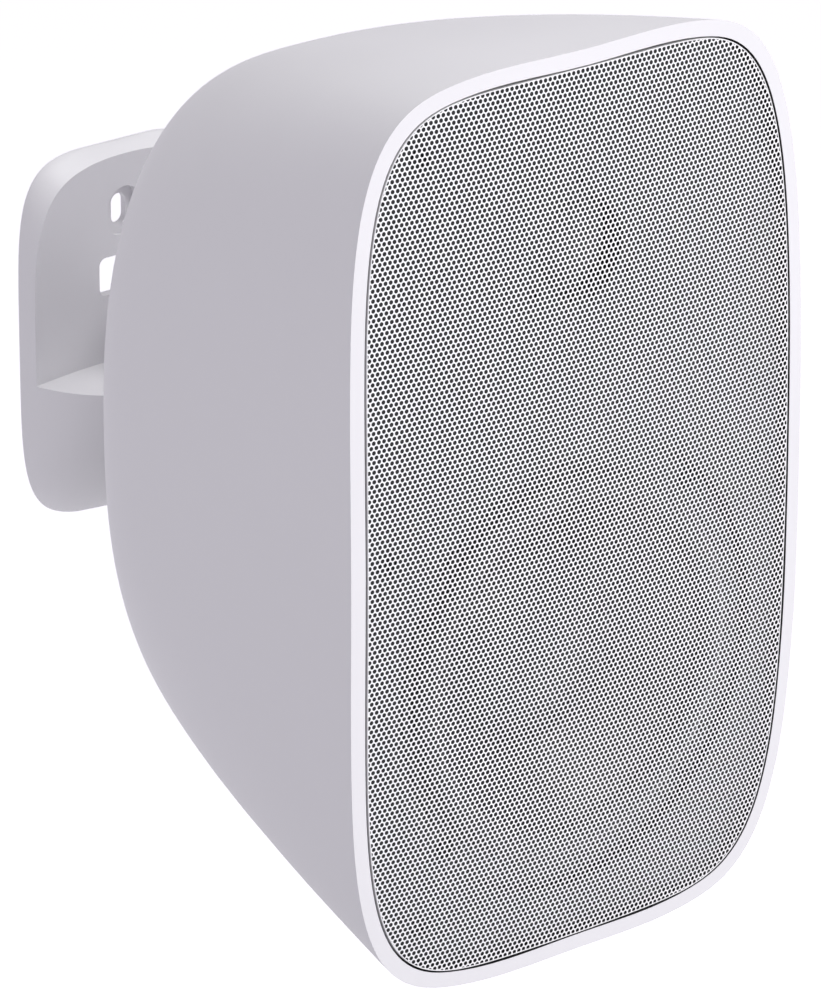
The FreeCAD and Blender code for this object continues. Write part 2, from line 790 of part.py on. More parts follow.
def make_connector(x, z, width, height, length, lip, lip_thickness):
    """Connector body that passes through the panel, with a lip on the panel's outer face."""
    flange = block(x, z, width + 2 * lip, height + 2 * lip, panel_face_y, panel_face_y + lip_thickness, lip)
    return flange.fuse(block(x, z, width, height, panel_face_y, panel_face_y - length)).removeSplitter()


def make_panel():
    """Aluminium connector panel with an opening for each connector."""
    plate = block(0, panel_z, panel_width, panel_height, panel_back_y, panel_face_y, panel_corner)
    low = panel_back_y - 1
    high = panel_face_y + 1
    cuts = [disc(x, z, low, high, passage_radius) for x, z in panel_screws_xz]
    fit = 2 * insert_fit
    cuts.append(block(inlet_x, panel_z + inlet_z, inlet_width + fit, inlet_height + fit, low, high))
    cuts.append(block(switch_x, panel_z + switch_z, switch_width + fit, switch_height + fit, low, high))
    cuts.append(block(socket_x, panel_z + socket_z, socket_width + fit, socket_height + fit, low, high))
    cuts.append(disc(volume_x, panel_z + volume_z, low, high, pot_bushing_radius + insert_fit))
    for index in range(2):
        x = jack_x + index * jack_spacing
        cuts.append(disc(x, panel_z + jack_z, low, high, jack_body_radius + insert_fit))
    for x, z in amp_pillars:
        cuts.append(disc(x, panel_z + z, low, high, passage_radius))
    return plate.cut(cuts)


def make_panel_gasket():
    """Sealing frame between the panel and the rear face."""
    frame = block(0, panel_z, panel_width, panel_height, rear_y, panel_back_y, panel_corner)
    cuts = [disc(x, z, rear_y - 1, panel_back_y + 1, passage_radius) for x, z in panel_screws_xz]
    cuts.append(block(0, panel_z, panel_window_x, panel_window_z, rear_y - 1, panel_back_y + 1,
                      panel_window_corner))
    return frame.cut(cuts)


def make_inlet():
    """Two-pole mains inlet with a waisted opening."""
    z = panel_z + inlet_z
    body = make_connector(inlet_x, z, inlet_width, inlet_height, inlet_length, inlet_lip, inlet_lip_thickness)
    mouth = panel_face_y + inlet_lip_thickness
    floor = mouth - inlet_cavity_depth
    half = inlet_cavity_height / 2
    reach = inlet_cavity_width / 2 - half
    ends = [disc(inlet_x + side * reach, z, floor, mouth + 1, half) for side in (-1, 1)]
    middle = block(inlet_x, z, 2 * reach, inlet_cavity_height, floor, mouth + 1)
    return body.cut(ends + [middle])


def make_inlet_pins():
    """Two contact pins on the inlet's floor."""
    floor = panel_face_y + inlet_lip_thickness - inlet_cavity_depth
    pins = []
    for side in (-1, 1):
        x = inlet_x + side * inlet_pin_spacing / 2
        pins.append(disc(x, panel_z + inlet_z, floor, floor + inlet_pin_length, inlet_pin_radius))
    return Part.makeCompound(pins)


def make_switch_body():
    """Switch housing with the well that the rocker sits in and the two holes of its pivot."""
    z = panel_z + switch_z
    body = make_connector(switch_x, z, switch_width, switch_height, switch_length, switch_lip,
                          switch_lip_thickness)
    well_x = rocker_width + 2 * rocker_end_gap
    well_z = rocker_height + 2 * rocker_side_gap
    mouth = panel_face_y + switch_lip_thickness
    well = block(switch_x, z, well_x, well_z, mouth + 1, mouth - rocker_thickness - rocker_end_gap)
    length = well_z + 2 * rocker_pin_length
    base = V(switch_x, rocker_axis_y(), z - length / 2)
    pivot = Part.makeCylinder(rocker_pin_radius + running_fit, length, base, V(0, 0, 1))
    return body.cut([well, pivot])


def rocker_axis_y():
    """The rocker's pivot lies in the middle of its thickness, below the switch's mouth."""
    return panel_face_y + switch_lip_thickness - rocker_thickness / 2


def make_rocker():
    """Rocker with a shallow valley across its face and two pivot stubs."""
    z = panel_z + switch_z
    axis_y = rocker_axis_y()
    half = rocker_width / 2
    back = axis_y - rocker_thickness / 2
    face = axis_y + rocker_thickness / 2
    corners = [V(switch_x - half, face, z), V(switch_x, face - rocker_valley, z), V(switch_x + half, face, z),
               V(switch_x + half * 0.75, back, z), V(switch_x - half * 0.75, back, z)]
    profile = Part.Face(Part.makePolygon(corners + corners[:1]))
    profile.translate(V(0, 0, -rocker_height / 2))
    bar = profile.extrude(V(0, 0, rocker_height))
    length = rocker_height + 2 * (rocker_side_gap + rocker_pin_length - moving_clearance)
    pin = Part.makeCylinder(rocker_pin_radius, length, V(switch_x, axis_y, z - length / 2), V(0, 0, 1))
    rocker = bar.fuse(pin).removeSplitter()
    rocker.rotate(V(switch_x, axis_y, z), V(0, 0, 1), -rocker_throw / 2)
    return rocker


def make_pot():
    """Volume potentiometer: body behind the panel and threaded bushing through it."""
    z = panel_z + volume_z
    body = disc(volume_x, z, panel_back_y, panel_back_y - pot_length, pot_radius)
    bushing = disc(volume_x, z, panel_back_y, panel_face_y + pot_bushing_length, pot_bushing_radius)
    bore = disc(volume_x, z, panel_face_y + pot_bushing_length + 1, panel_back_y - pot_length / 2,
                pot_shaft_radius + running_fit)
    return body.fuse(bushing).removeSplitter().cut(bore)


def make_pot_shaft():
    """Shaft that the knob is pressed on."""
    z = panel_z + volume_z
    start = panel_back_y - pot_length / 2 + moving_clearance
    return disc(volume_x, z, start, panel_face_y + pot_shaft_length, pot_shaft_radius)


def make_knob():
    """Fluted, slightly tapered volume knob, hollow over the bushing, with an index groove."""
    z = panel_z + volume_z
    start = panel_face_y + moving_clearance + 0.5
    end = panel_face_y + pot_shaft_length + knob_cap
    shape = Part.makeCone(knob_radius, knob_top_radius, end - start, V(volume_x, start, z), V(0, 1, 0))
    cuts = [disc(volume_x, z, start - 1, panel_face_y + pot_bushing_length + 2 * moving_clearance,
                 pot_bushing_radius + 2 * moving_clearance)]
    cuts.append(disc(volume_x, z, start - 1, panel_face_y + pot_shaft_length, pot_shaft_radius))
    for x, offset in ring_points(knob_radius, knob_grooves, 90.0):
        cuts.append(disc(volume_x + x, z + offset, start + knob_cap, end + 1, knob_groove_radius))
    cuts.append(block(volume_x, z + knob_top_radius / 2, 2 * knob_groove_radius, knob_top_radius,
                      end - knob_index_depth, end + 1))
    return shape.cut(cuts)


def make_jacks():
    """Two line input jacks: flange, barrel with its bore, and body behind the panel."""
    jacks = []
    for index in range(2):
        x = jack_x + index * jack_spacing
        z = panel_z + jack_z
        flange_y = panel_face_y + jack_flange_thickness
        jack = disc(x, z, panel_face_y, flange_y, jack_flange_radius)
        jack = jack.fuse(disc(x, z, flange_y, flange_y + jack_barrel_length, jack_barrel_radius))
        jack = jack.fuse(disc(x, z, panel_face_y, panel_back_y - jack_body_length, jack_body_radius))
        bore = disc(x, z, flange_y + jack_barrel_length + 1, panel_back_y, jack_bore_radius)
        jacks.append(jack.removeSplitter().cut(bore))
    return Part.makeCompound(jacks)


def make_socket():
    """Output socket for a second speaker, with two short contact pins on its floor."""
    z = panel_z + socket_z
    body = make_connector(socket_x, z, socket_width, socket_height, socket_length, socket_lip,
                          socket_lip_thickness)
    mouth = panel_face_y + socket_lip_thickness
    floor = mouth - socket_cavity_depth
    body = body.cut(block(socket_x, z, socket_width - 2 * socket_wall, socket_height - 2 * socket_wall,
                          floor, mouth + 1))
    pins = []
    for side in (-1, 1):
        x = socket_x + side * socket_pin_spacing / 2
        pins.append(disc(x, z, floor - 1, floor + socket_pin_length, socket_pin_radius))
    return body.fuse(pins).removeSplitter()


amp_y = panel_back_y - amp_standoff
amp_inner_y = amp_y - board_thickness


def make_amp_board():
    """Amplifier circuit board parallel to the panel."""
    board = block(0, panel_z, amp_width, amp_height, amp_y, amp_inner_y)
    holes = [disc(x, panel_z + z, amp_y + 1, amp_inner_y - 1, passage_radius) for x, z in amp_pillars]
    return board.cut(holes)


def make_amp_pillars():
    """Pillars that hold the amplifier board on the panel."""
    pillars = [disc(x, panel_z + z, panel_back_y, amp_y, amp_pillar_radius) for x, z in amp_pillars]
    return Part.makeCompound(pillars)


def make_heat_sink():
    """Finned heat sink on the amplifier board."""
    base = block(sink_x, panel_z, sink_width, sink_height, amp_inner_y, amp_inner_y - sink_base)
    fins = []
    pitch = (sink_width - sink_fin_thickness) / (sink_fin_count - 1)
    for index in range(sink_fin_count):
        x = sink_x - sink_width / 2 + sink_fin_thickness / 2 + index * pitch
        start = amp_inner_y - sink_base
        fins.append(block(x, panel_z, sink_fin_thickness, sink_height, start, start - sink_fin_length))
    return base.fuse(fins).removeSplitter()


def make_amp_capacitors():
    """Two smoothing capacitors on the amplifier board."""
    cans = []
    for side in (-1, 1):
        z = panel_z + side * amp_capacitor_spacing / 2
        cans.append(disc(amp_capacitor_x, z, amp_inner_y, amp_inner_y - amp_capacitor_length,
                         amp_capacitor_radius))
    return Part.makeCompound(cans)


def make_transformer():
    """Toroidal mains transformer on the rear wall."""
    far = inner_rear_y - transformer_height
    ring = tube(0, transformer_z, inner_rear_y, far, transformer_radius, transformer_bore)
    circles = [e for e in ring.Edges if e.Curve.TypeId == "Part::GeomCircle"]
    rims = [e for e in circles if e.Curve.Radius > transformer_bore + 1]
    return ring.makeFillet(transformer_round, rims)


def make_transformer_washer():
    """Dished washer that presses the transformer on to the wall."""
    start = inner_rear_y - transformer_height
    bore = transformer_bolt_radius + screw_clearance
    return tube(0, transformer_z, start, start - transformer_washer_thickness, transformer_washer_radius, bore)


def make_transformer_bolt():
    """Bolt through the transformer into the cabinet's boss."""
    seat = inner_rear_y - transformer_height - transformer_washer_thickness
    head = disc(0, transformer_z, seat, seat - transformer_bolt_head_height, transformer_bolt_head_radius)
    shank = disc(0, transformer_z, seat, inner_rear_y - 0.5, transformer_bolt_radius)
    return head.fuse(shank).removeSplitter()


def make_crossover_board():
    """Crossover board on the baffle's posts."""
    start = front_y + crossover_depth
    return block(0, crossover_z, crossover_width, crossover_height, start, start + board_thickness)


def make_crossover_coil():
    """Air-cored coil on the crossover board."""
    start = front_y + crossover_depth + board_thickness
    return tube(crossover_coil_x, crossover_z, start, start + crossover_coil_height, crossover_coil_radius,
                crossover_coil_bore)


def make_crossover_capacitor():
    """Film capacitor on the crossover board."""
    start = front_y + crossover_depth + board_thickness
    return disc(crossover_capacitor_x, crossover_z, start, start + crossover_capacitor_length,
                crossover_capacitor_radius)


def half_post(inset):
    """Half of an upright post standing out of the wall, drawn in by a thickness.

    Each level is half an ellipse. Its width holds almost to the rounded ends, its depth falls away earlier.
    """
    half_x = bracket_width / 2 - inset
    half_z = bracket_height / 2 - inset
    depth = bracket_depth - inset
    wires = []
    for step in range(-6, 7):
        level = math.sin(math.radians(14.4 * step))
        across = half_x * (1 - abs(level) ** bracket_power) ** (1 / bracket_power)
        out = depth * (1 - abs(level) ** bracket_depth_power) ** (1 / bracket_depth_power)
        points = []
        for turn in range(-1, 10):
            angle = math.pi * turn / 8
            points.append(V(across * math.cos(angle), -out * math.sin(angle), bracket_z + half_z * level))
        curve = Part.BSplineCurve()
        curve.interpolate(Points=points)
        back = Part.LineSegment(points[-1], points[0]).toShape()
        wires.append(Part.Wire([curve.toShape(), back]))
    post = Part.makeLoft(wires, True, False)
    return post.common(block(0, bracket_z, bracket_width, bracket_height, 0.0, -2 * bracket_depth))


def scoop_above_shelf():
    """Hollow in front of the upper plate: an arc across, drawn up from the shelf and then tipped forward."""
    half = bracket_width
    sag = scoop_radius_x - math.sqrt(scoop_radius_x ** 2 - half ** 2)
    far = -2 * bracket_depth
    left = V(-half, -bracket_plate - sag, shelf_z)
    right_end = V(half, -bracket_plate - sag, shelf_z)
    arc = Part.Arc(left, V(0, -bracket_plate, shelf_z), right_end).toShape()
    rest = Part.makePolygon([right_end, V(half, far, shelf_z), V(-half, far, shelf_z), left])
    face = Part.Face(Part.Wire([arc] + rest.Edges))
    straight = face.extrude(V(0, 0, scoop_flat_z - shelf_z))
    face.translate(V(0, 0, scoop_flat_z - shelf_z))
    pivot = V(0, -bracket_plate - scoop_radius_z, scoop_flat_z)
    swing = math.degrees(math.asin(bracket_height / 2 / (scoop_radius_z + far)))
    return straight.fuse(face.revolve(pivot, V(1, 0, 0), swing))


def make_bracket():
    """Wall bracket: scooped plate above, shelf with the pivot, hollow ribbed bulge below."""
    far = -bracket_depth - 1
    shape = half_post(0.0).cut(scoop_above_shelf())
    under_z = shelf_z - bulge_wall
    below = block(0, under_z - bracket_height / 2, bracket_width, bracket_height, 1.0, far)
    hollow = half_post(bulge_wall).common(below)
    kept = []
    for side in (-1, 1):
        kept.append(block(side * bulge_rib_x, bracket_z, bulge_rib_thickness, bracket_height, 1.0, far))
    kept.append(Part.makeCylinder(boss_radius, boss_length, V(0, pan_y, under_z - boss_length), V(0, 0, 1)))
    tunnel_radius = slot_recess_radius + slot_tube_wall
    tunnel_length = slot_length + 2 * (tunnel_radius - slot_radius)
    kept.append(obround(0, lower_slot_z, tunnel_radius, tunnel_length, 1.0, far))
    shape = shape.cut(hollow.cut(kept))
    cuts = []
    recess_length = slot_length + 2 * (slot_recess_radius - slot_radius)
    for z in (slot_z, lower_slot_z):
        cuts.append(obround(0, z, slot_radius, slot_length, 1.0, far))
        cuts.append(obround(0, z, slot_recess_radius, recess_length, -bracket_plate + slot_recess_depth, far))
    cuts.append(block(0, cable_z, cable_width, cable_height, 1.0, far, cable_corner))
    hole_length = bulge_wall + boss_length + 2
    cuts.append(Part.makeCylinder(pan_bolt_radius + pilot_clearance, hole_length,
                                  V(0, pan_y, shelf_z - hole_length + 1), V(0, 0, 1)))
    return shape.cut(cuts)


hub_base_z = shelf_z + pan_gap
hub_top_z = hub_base_z + hub_height


def make_arm():
    """Swivel arm: hub on the shelf, neck forward, tilt eye at the front."""
    hub = Part.makeCylinder(hub_radius, hub_height, V(0, pan_y, hub_base_z), V(0, 0, 1))
    eye = Part.makeCylinder(eye_radius, eye_width, V(-eye_width / 2, tilt_y, tilt_z), V(1, 0, 0))
    corner = V(-arm_width / 2, tilt_y, tilt_z - arm_height / 2)
    neck = Part.makeBox(arm_width, pan_y - tilt_y, arm_height, corner)
    long_edges = [e for e in neck.Edges if abs(e.tangentAt(e.FirstParameter).y) > 0.99]
    neck = neck.makeFillet(arm_edge, long_edges)
    arm = hub.fuse([neck, eye]).removeSplitter()
    pan_hole = Part.makeCylinder(pan_bolt_radius + running_fit, hub_height + 2, V(0, pan_y, hub_base_z - 1),
                                 V(0, 0, 1))
    tilt_hole = Part.makeCylinder(tilt_bolt_radius + running_fit, eye_width + 2,
                                  V(-eye_width / 2 - 1, tilt_y, tilt_z), V(1, 0, 0))
    return arm.cut([pan_hole, tilt_hole])


def make_bolt(seat, axis, radius, length):
    """Socket-head bolt: the head stands on the seat against the axis, the shank runs along it."""
    head = Part.makeCylinder(bolt_head_radius, bolt_head_height, seat - axis * bolt_head_height, axis)
    key = hexagon_prism(seat - axis * bolt_head_height, axis, bolt_head_radius, bolt_head_height / 2)
    return head.fuse(Part.makeCylinder(radius, length, seat, axis)).removeSplitter().cut(key)


def make_washer(seat, axis, radius):
    """Plain washer standing on the seat along the axis."""
    ring = Part.makeCylinder(washer_radius, washer_thickness, seat, axis)
    return ring.cut(Part.makeCylinder(radius + pilot_clearance, washer_thickness, seat, axis))


def make_nut(seat, axis, radius):
    """Hexagon nut standing on the seat along the axis."""
    return hexagon_prism(seat, axis, nut_flats, nut_height).cut(
        Part.makeCylinder(radius + pilot_clearance, nut_height, seat, axis))


lug_inner_x = eye_width / 2 + tilt_gap
lug_outer_x = lug_inner_x + lug_thickness
down = V(0, 0, -1)
right = V(1, 0, 0)
pan_washer_z = hub_top_z + pan_gap
pan_head_seat = V(0, pan_y, pan_washer_z + washer_thickness)
pan_nut_washer = V(0, pan_y, shelf_z - bulge_wall - boss_length)
pan_nut_seat = pan_nut_washer + down * washer_thickness
pan_bolt_length = pan_head_seat.z - pan_nut_seat.z + nut_height
tilt_head_seat = V(-lug_outer_x - washer_thickness, tilt_y, tilt_z)
tilt_nut_seat = V(lug_outer_x + washer_thickness, tilt_y, tilt_z)
tilt_bolt_length = 2 * (lug_outer_x + washer_thickness) + nut_height


def make_yoke():
    """Yoke on the cabinet's back: a base plate with two lugs either side of the arm's eye."""
    base = block(0, tilt_z, yoke_width, yoke_height, rear_y, rear_y + yoke_base, yoke_corner)
    lugs = []
    for side in (-1, 1):
        start = side * (lug_inner_x + lug_thickness / 2) - lug_thickness / 2
        foot = rear_y + yoke_base - 1
        corners = [V(start, foot, tilt_z - lug_foot / 2), V(start, tilt_y, tilt_z - eye_radius),
                   V(start, tilt_y, tilt_z + eye_radius), V(start, foot, tilt_z + lug_foot / 2)]
        web = Part.Face(Part.makePolygon(corners + corners[:1])).extrude(V(lug_thickness, 0, 0))
        round_end = Part.makeCylinder(eye_radius, lug_thickness, V(start, tilt_y, tilt_z), right)
        lugs.append(web.fuse(round_end))
    yoke = base.fuse(lugs).removeSplitter()
    cuts = [disc(x, z, rear_y - 1, rear_y + yoke_base + 1, passage_radius) for x, z in yoke_screws_xz]
    cuts.append(Part.makeCylinder(tilt_bolt_radius + pilot_clearance, 2 * lug_outer_x + 2,
                                  V(-lug_outer_x - 1, tilt_y, tilt_z), right))
    return yoke.cut(cuts)


def make_screws(places, seat_y, length, into):
    """A set of like screws in one node."""
    return Part.makeCompound([screw(x, z, seat_y, length, into) for x, z in places])


woofer_ring = ring_points(woofer_screw_circle, woofer_screw_count, 45.0)
tweeter_ring = ring_points(tweeter_screw_circle, tweeter_screw_count, 90.0)
woofer_screws_xz = [(x, woofer_z + z) for x, z in woofer_ring]
tweeter_screws_xz = [(x, tweeter_z + z) for x, z in tweeter_ring]
woofer_screw_length = woofer_ring_depth - woofer_front - 2.0
tweeter_seat_y = front_y + tweeter_boss_depth + tweeter_plate_thickness
yoke_screw_length = yoke_base + cabinet_wall + yoke_boss_length - 3.0
baffle_screws = [screw(x, z, baffle_seat_y(x, z), screw_length) for x, z in baffle_screws_xz]

pieces = {
    "wall_bracket": make_bracket(),
    "swivel_arm": make_arm(),
    "pivot_bolt": make_bolt(pan_head_seat, down, pan_bolt_radius, pan_bolt_length),
    "pivot_washers": Part.makeCompound([make_washer(V(0, pan_y, pan_washer_z), V(0, 0, 1), pan_bolt_radius),
                                        make_washer(pan_nut_washer, down, pan_bolt_radius)]),
    "pivot_nut": make_nut(pan_nut_seat, down, pan_bolt_radius),
    "mount_yoke": make_yoke(),
    "yoke_screws": make_screws(yoke_screws_xz, rear_y + yoke_base, yoke_screw_length, -1.0),
    "tilt_bolt": make_bolt(tilt_head_seat, right, tilt_bolt_radius, tilt_bolt_length),
    "tilt_washers": Part.makeCompound([
        make_washer(V(-lug_outer_x, tilt_y, tilt_z), right * -1, tilt_bolt_radius),
        make_washer(V(lug_outer_x, tilt_y, tilt_z), right, tilt_bolt_radius)]),
    "tilt_nut": make_nut(tilt_nut_seat, right, tilt_bolt_radius),
    "cabinet": make_cabinet(),
    "baffle": make_baffle(),
    "baffle_gasket": make_baffle_gasket(),
    "baffle_screws": Part.makeCompound(baffle_screws),
    "grille": make_grille(),
    "woofer_frame": make_woofer_frame(),
    "woofer_gasket": make_woofer_gasket(),
    "woofer_screws": make_screws(woofer_screws_xz, front_y + woofer_front, woofer_screw_length, 1.0),
    "woofer_surround": make_surround(),
    "woofer_cone": make_cone(),
    "woofer_dust_cap": make_dust_cap(),
    "woofer_spider": make_spider(),
    "woofer_voice_coil": make_voice_coil(),
    "woofer_top_plate": make_top_plate(),
    "woofer_magnet": make_magnet(),
    "woofer_back_plate": make_back_plate(),
    "tweeter_plate": make_tweeter_plate(),
    "tweeter_dome": make_tweeter_dome(),
    "tweeter_magnet": make_tweeter_magnet(),
    "tweeter_screws": make_screws(tweeter_screws_xz, tweeter_seat_y, tweeter_screw_length, -1.0),
    "crossover_board": make_crossover_board(),
    "crossover_coil": make_crossover_coil(),
    "crossover_capacitor": make_crossover_capacitor(),
    "connector_panel": make_panel(),
    "panel_gasket": make_panel_gasket(),
    "panel_screws": make_screws(panel_screws_xz, panel_face_y, panel_screw_length, -1.0),
    "mains_inlet": make_inlet(),
    "inlet_pins": make_inlet_pins(),
    "power_switch_body": make_switch_body(),
    "power_rocker": make_rocker(),
    "volume_potentiometer": make_pot(),
    "volume_shaft": make_pot_shaft(),
    "volume_knob": make_knob(),
    "input_jacks": make_jacks(),
    "output_socket": make_socket(),
    "amplifier_board": make_amp_board(),
    "board_pillars": make_amp_pillars(),
    "heat_sink": make_heat_sink(),
    "board_capacitors": make_amp_capacitors(),
    "power_transformer": make_transformer(),
    "transformer_washer": make_transformer_washer(),
    "transformer_bolt": make_transformer_bolt(),
}

os.makedirs("parts", exist_ok=True)
for name, shape in pieces.items():
    shape.exportStep("parts/" + name + ".step")
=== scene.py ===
"""Looks of a wall-mount active loudspeaker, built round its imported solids.

Metres, in the part's own frame: the wall is the plane Y = 0, the speaker faces -Y and +Z is up.
"""
import math

import bmesh
import bpy
import numpy as np
from bpy.props import FloatProperty, FloatVectorProperty, IntProperty, PointerProperty
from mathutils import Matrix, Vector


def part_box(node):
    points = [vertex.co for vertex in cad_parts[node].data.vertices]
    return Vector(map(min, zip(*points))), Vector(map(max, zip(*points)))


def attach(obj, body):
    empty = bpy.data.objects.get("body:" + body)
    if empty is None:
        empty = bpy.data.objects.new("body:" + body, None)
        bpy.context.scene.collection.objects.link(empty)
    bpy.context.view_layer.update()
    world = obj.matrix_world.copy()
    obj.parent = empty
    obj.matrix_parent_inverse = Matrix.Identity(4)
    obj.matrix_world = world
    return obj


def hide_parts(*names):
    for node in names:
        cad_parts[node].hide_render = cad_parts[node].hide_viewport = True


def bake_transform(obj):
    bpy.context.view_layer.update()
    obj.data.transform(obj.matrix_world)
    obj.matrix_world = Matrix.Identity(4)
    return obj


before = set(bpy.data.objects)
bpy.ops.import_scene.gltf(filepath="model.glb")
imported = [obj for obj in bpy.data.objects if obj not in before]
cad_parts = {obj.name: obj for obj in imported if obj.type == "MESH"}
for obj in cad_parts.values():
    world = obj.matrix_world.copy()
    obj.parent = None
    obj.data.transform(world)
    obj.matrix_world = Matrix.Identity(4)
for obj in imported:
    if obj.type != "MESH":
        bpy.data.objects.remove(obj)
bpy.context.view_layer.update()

bl_info = {
    "name": "Wall speaker looks",
    "version": (1, 0, 0),
    "blender": (4, 5, 0),
    "location": "View3D > Sidebar > Speaker",
    "description": "Perforated grille, rubber rolls, screws, dial marks, finishes and studio",
    "category": "Object",
}

MM = 0.001

# Planes and axes of the solids that the new pieces and the finishes are set out from.
FRONT_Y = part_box("grille")[0].y
PANEL_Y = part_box("connector_panel")[1].y
GRILLE_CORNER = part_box("grille")[1]
WOOFER_Z = -50.0 * MM
JACK_LEFT_X = 1.5 * MM
JACK_RIGHT_X = 13.5 * MM
JACK_Z = -67.0 * MM
TOROID_Z = 58.0 * MM

# The domed front: the radii of its two arcs and the powers of its superelliptic outline.
CROWN_ACROSS = 754.0 * MM
CROWN_ALONG = 1900.0 * MM
OUTLINE_POWER_X = 5.9
OUTLINE_POWER_Z = 4.33

# Painted shade round the grille, black on the cabinet's pocket walls and inside the grille's folded edge:
# outline levels up to which it reaches, and its depths behind the front.
GRILLE_GAP = 0.6 * MM
POCKET_LEVEL = 1.03
SKIRT_LEVEL = 0.993
RIM_DEPTH = 0.15 * MM
POCKET_DEPTH = 7.0 * MM

# Places of the screws in front.
BAFFLE_SCREW_X = 56.5 * MM
BAFFLE_SCREW_Z = 118.0 * MM
BAFFLE_SIDE_SCREW_X = 70.8 * MM
WOOFER_SCREW_RADIUS = 65.8 * MM

# How finely the surfaces are divided.
SPARE_HOLES = 3
OUTLINE_STEPS = 8001
NEWTON_STEPS = 12
BEND_STEPS = 6
SKIRT_STEPS = 600
RING_STEPS = 192
ROLL_STEPS = 25
RIPPLE_STEPS = 65
SCREW_STEPS = 64
HEAD_STEPS = 24

# Limits for meshes: least slope and least quad area that count, welding distance, angles shaded smooth.
LEAST_SLOPE = 1e-9
LEAST_AREA = 1e-10
WELD_DISTANCE = 1e-7
SMOOTH_ANGLE = math.radians(50)
HEAD_SMOOTH_ANGLE = math.radians(35)

# A screw's head: height of its rim as a share of the head's, softness of the slots' edges, and how far their
# floor rises towards the ends, as a share of their depth.
HEAD_RIM = 0.35
SLOT_EDGE = 0.12 * MM
SLOT_RISE = 0.5

# How deep a printed mark is sunk in its face.
PRINT_SINK = 0.02 * MM

# The floor's half width and points a side, and the tint of its glow.
FLOOR_REACH = 40.0
FLOOR_POINTS = 25
GLOW_TINT = (1.0, 0.975, 1.04)

# Lights: name, place, width and the setting that holds its power. All look at the same target.
LIGHTS = (
    ("right_key", (1.2, -2.0, 1.0), 1.4, "right_power"),
    ("front_key", (0.0, -2.4, 0.6), 1.4, "front_power"),
    ("top", (0.0, -0.3, 2.2), 1.6, "top_power"),
    ("high_front", (0.6, -1.5, 1.8), 1.6, "high_power"),
)
LIGHT_TARGET = (0.0, -0.14, 0.0)


class GrilleSizes(bpy.types.PropertyGroup):
    """Sizes of the perforated sheet."""

    hole_pitch: FloatProperty(
        name="Hole pitch", description="Distance between neighbouring holes of a row",
        default=1.735 * MM, min=1.2 * MM, unit="LENGTH", precision=5)
    row_pitch: FloatProperty(
        name="Row pitch", description="Height from one row of holes to the next",
        default=1.447 * MM, min=1.0 * MM, unit="LENGTH", precision=5)
    hole_width: FloatProperty(
        name="Hole width", description="Diameter of a round hole with the same opening",
        default=1.28 * MM, min=0.3 * MM, unit="LENGTH", precision=5)
    edge_inset: FloatProperty(
        name="Edge inset", description="How far the sheet's edge stays inside its solid's",
        default=0.25 * MM, min=0.0, unit="LENGTH", precision=5)
    edge_radius: FloatProperty(
        name="Edge radius", description="Bend between the sheet and its folded skirt",
        default=0.15 * MM, min=0.05 * MM, unit="LENGTH", precision=5)
    skirt_depth: FloatProperty(
        name="Skirt depth", description="How far the folded edge reaches back",
        default=3.8 * MM, min=1.0 * MM, unit="LENGTH", precision=5)
    skirt_wall: FloatProperty(
        name="Skirt wall", description="Thickness of the folded edge",
        default=0.4 * MM, min=0.3 * MM, unit="LENGTH", precision=5)


class RollSizes(bpy.types.PropertyGroup):
    """Sizes of the woofer's rubber roll and of its corrugated spider."""

    inner_radius: FloatProperty(
        name="Roll inside", description="Radius where the roll is glued to the cone",
        default=50.6 * MM, unit="LENGTH", precision=5)
    outer_radius: FloatProperty(
        name="Roll outside", description="Radius where the roll meets its outer land",
        default=60.0 * MM, unit="LENGTH", precision=5)
    land: FloatProperty(
        name="Outer land", description="Width of the flat rim glued on the frame",
        default=2.4 * MM, unit="LENGTH", precision=5)
    wall: FloatProperty(
        name="Rubber", description="Thickness of the rubber",
        default=0.8 * MM, unit="LENGTH", precision=5)
    rise: FloatProperty(
        name="Rise", description="How far the roll stands out of its lands",
        default=4.2 * MM, unit="LENGTH", precision=5)
    spider_bore: FloatProperty(
        name="Spider bore", description="Radius where the spider is glued to the voice coil",
        default=13.6 * MM, unit="LENGTH", precision=5)
    spider_rim: FloatProperty(
        name="Spider rim", description="Radius where the corrugations end in the outer land",
        default=33.0 * MM, unit="LENGTH", precision=5)
    spider_wall: FloatProperty(
        name="Spider cloth", description="Thickness of the spider's cloth",
        default=0.6 * MM, unit="LENGTH", precision=5)
    spider_ripple: FloatProperty(
        name="Spider ripple", description="Height of the spider's corrugations",
        default=1.6 * MM, unit="LENGTH", precision=5)
    spider_ripples: IntProperty(
        name="Ripples", description="Number of corrugations in the spider", default=4, min=1)


class ScrewSizes(bpy.types.PropertyGroup):
    """Sizes of the cross-recessed screws."""

    head_radius: FloatProperty(
        name="Head radius", description="Radius of a screw's head",
        default=3.0 * MM, unit="LENGTH", precision=5)
    head_height: FloatProperty(
        name="Head height", description="Height of a screw's head",
        default=2.0 * MM, unit="LENGTH", precision=5)
    shank_radius: FloatProperty(
        name="Shank radius", description="Radius of a screw's shank",
        default=1.5 * MM, unit="LENGTH", precision=5)
    cross_width: FloatProperty(
        name="Cross width", description="Width of the driver's slots",
        default=0.75 * MM, unit="LENGTH", precision=5)
    cross_reach: FloatProperty(
        name="Cross reach", description="Reach of the driver's slots",
        default=1.7 * MM, unit="LENGTH", precision=5)
    cross_depth: FloatProperty(
        name="Cross depth", description="Depth of the driver's slots",
        default=1.2 * MM, unit="LENGTH", precision=5)


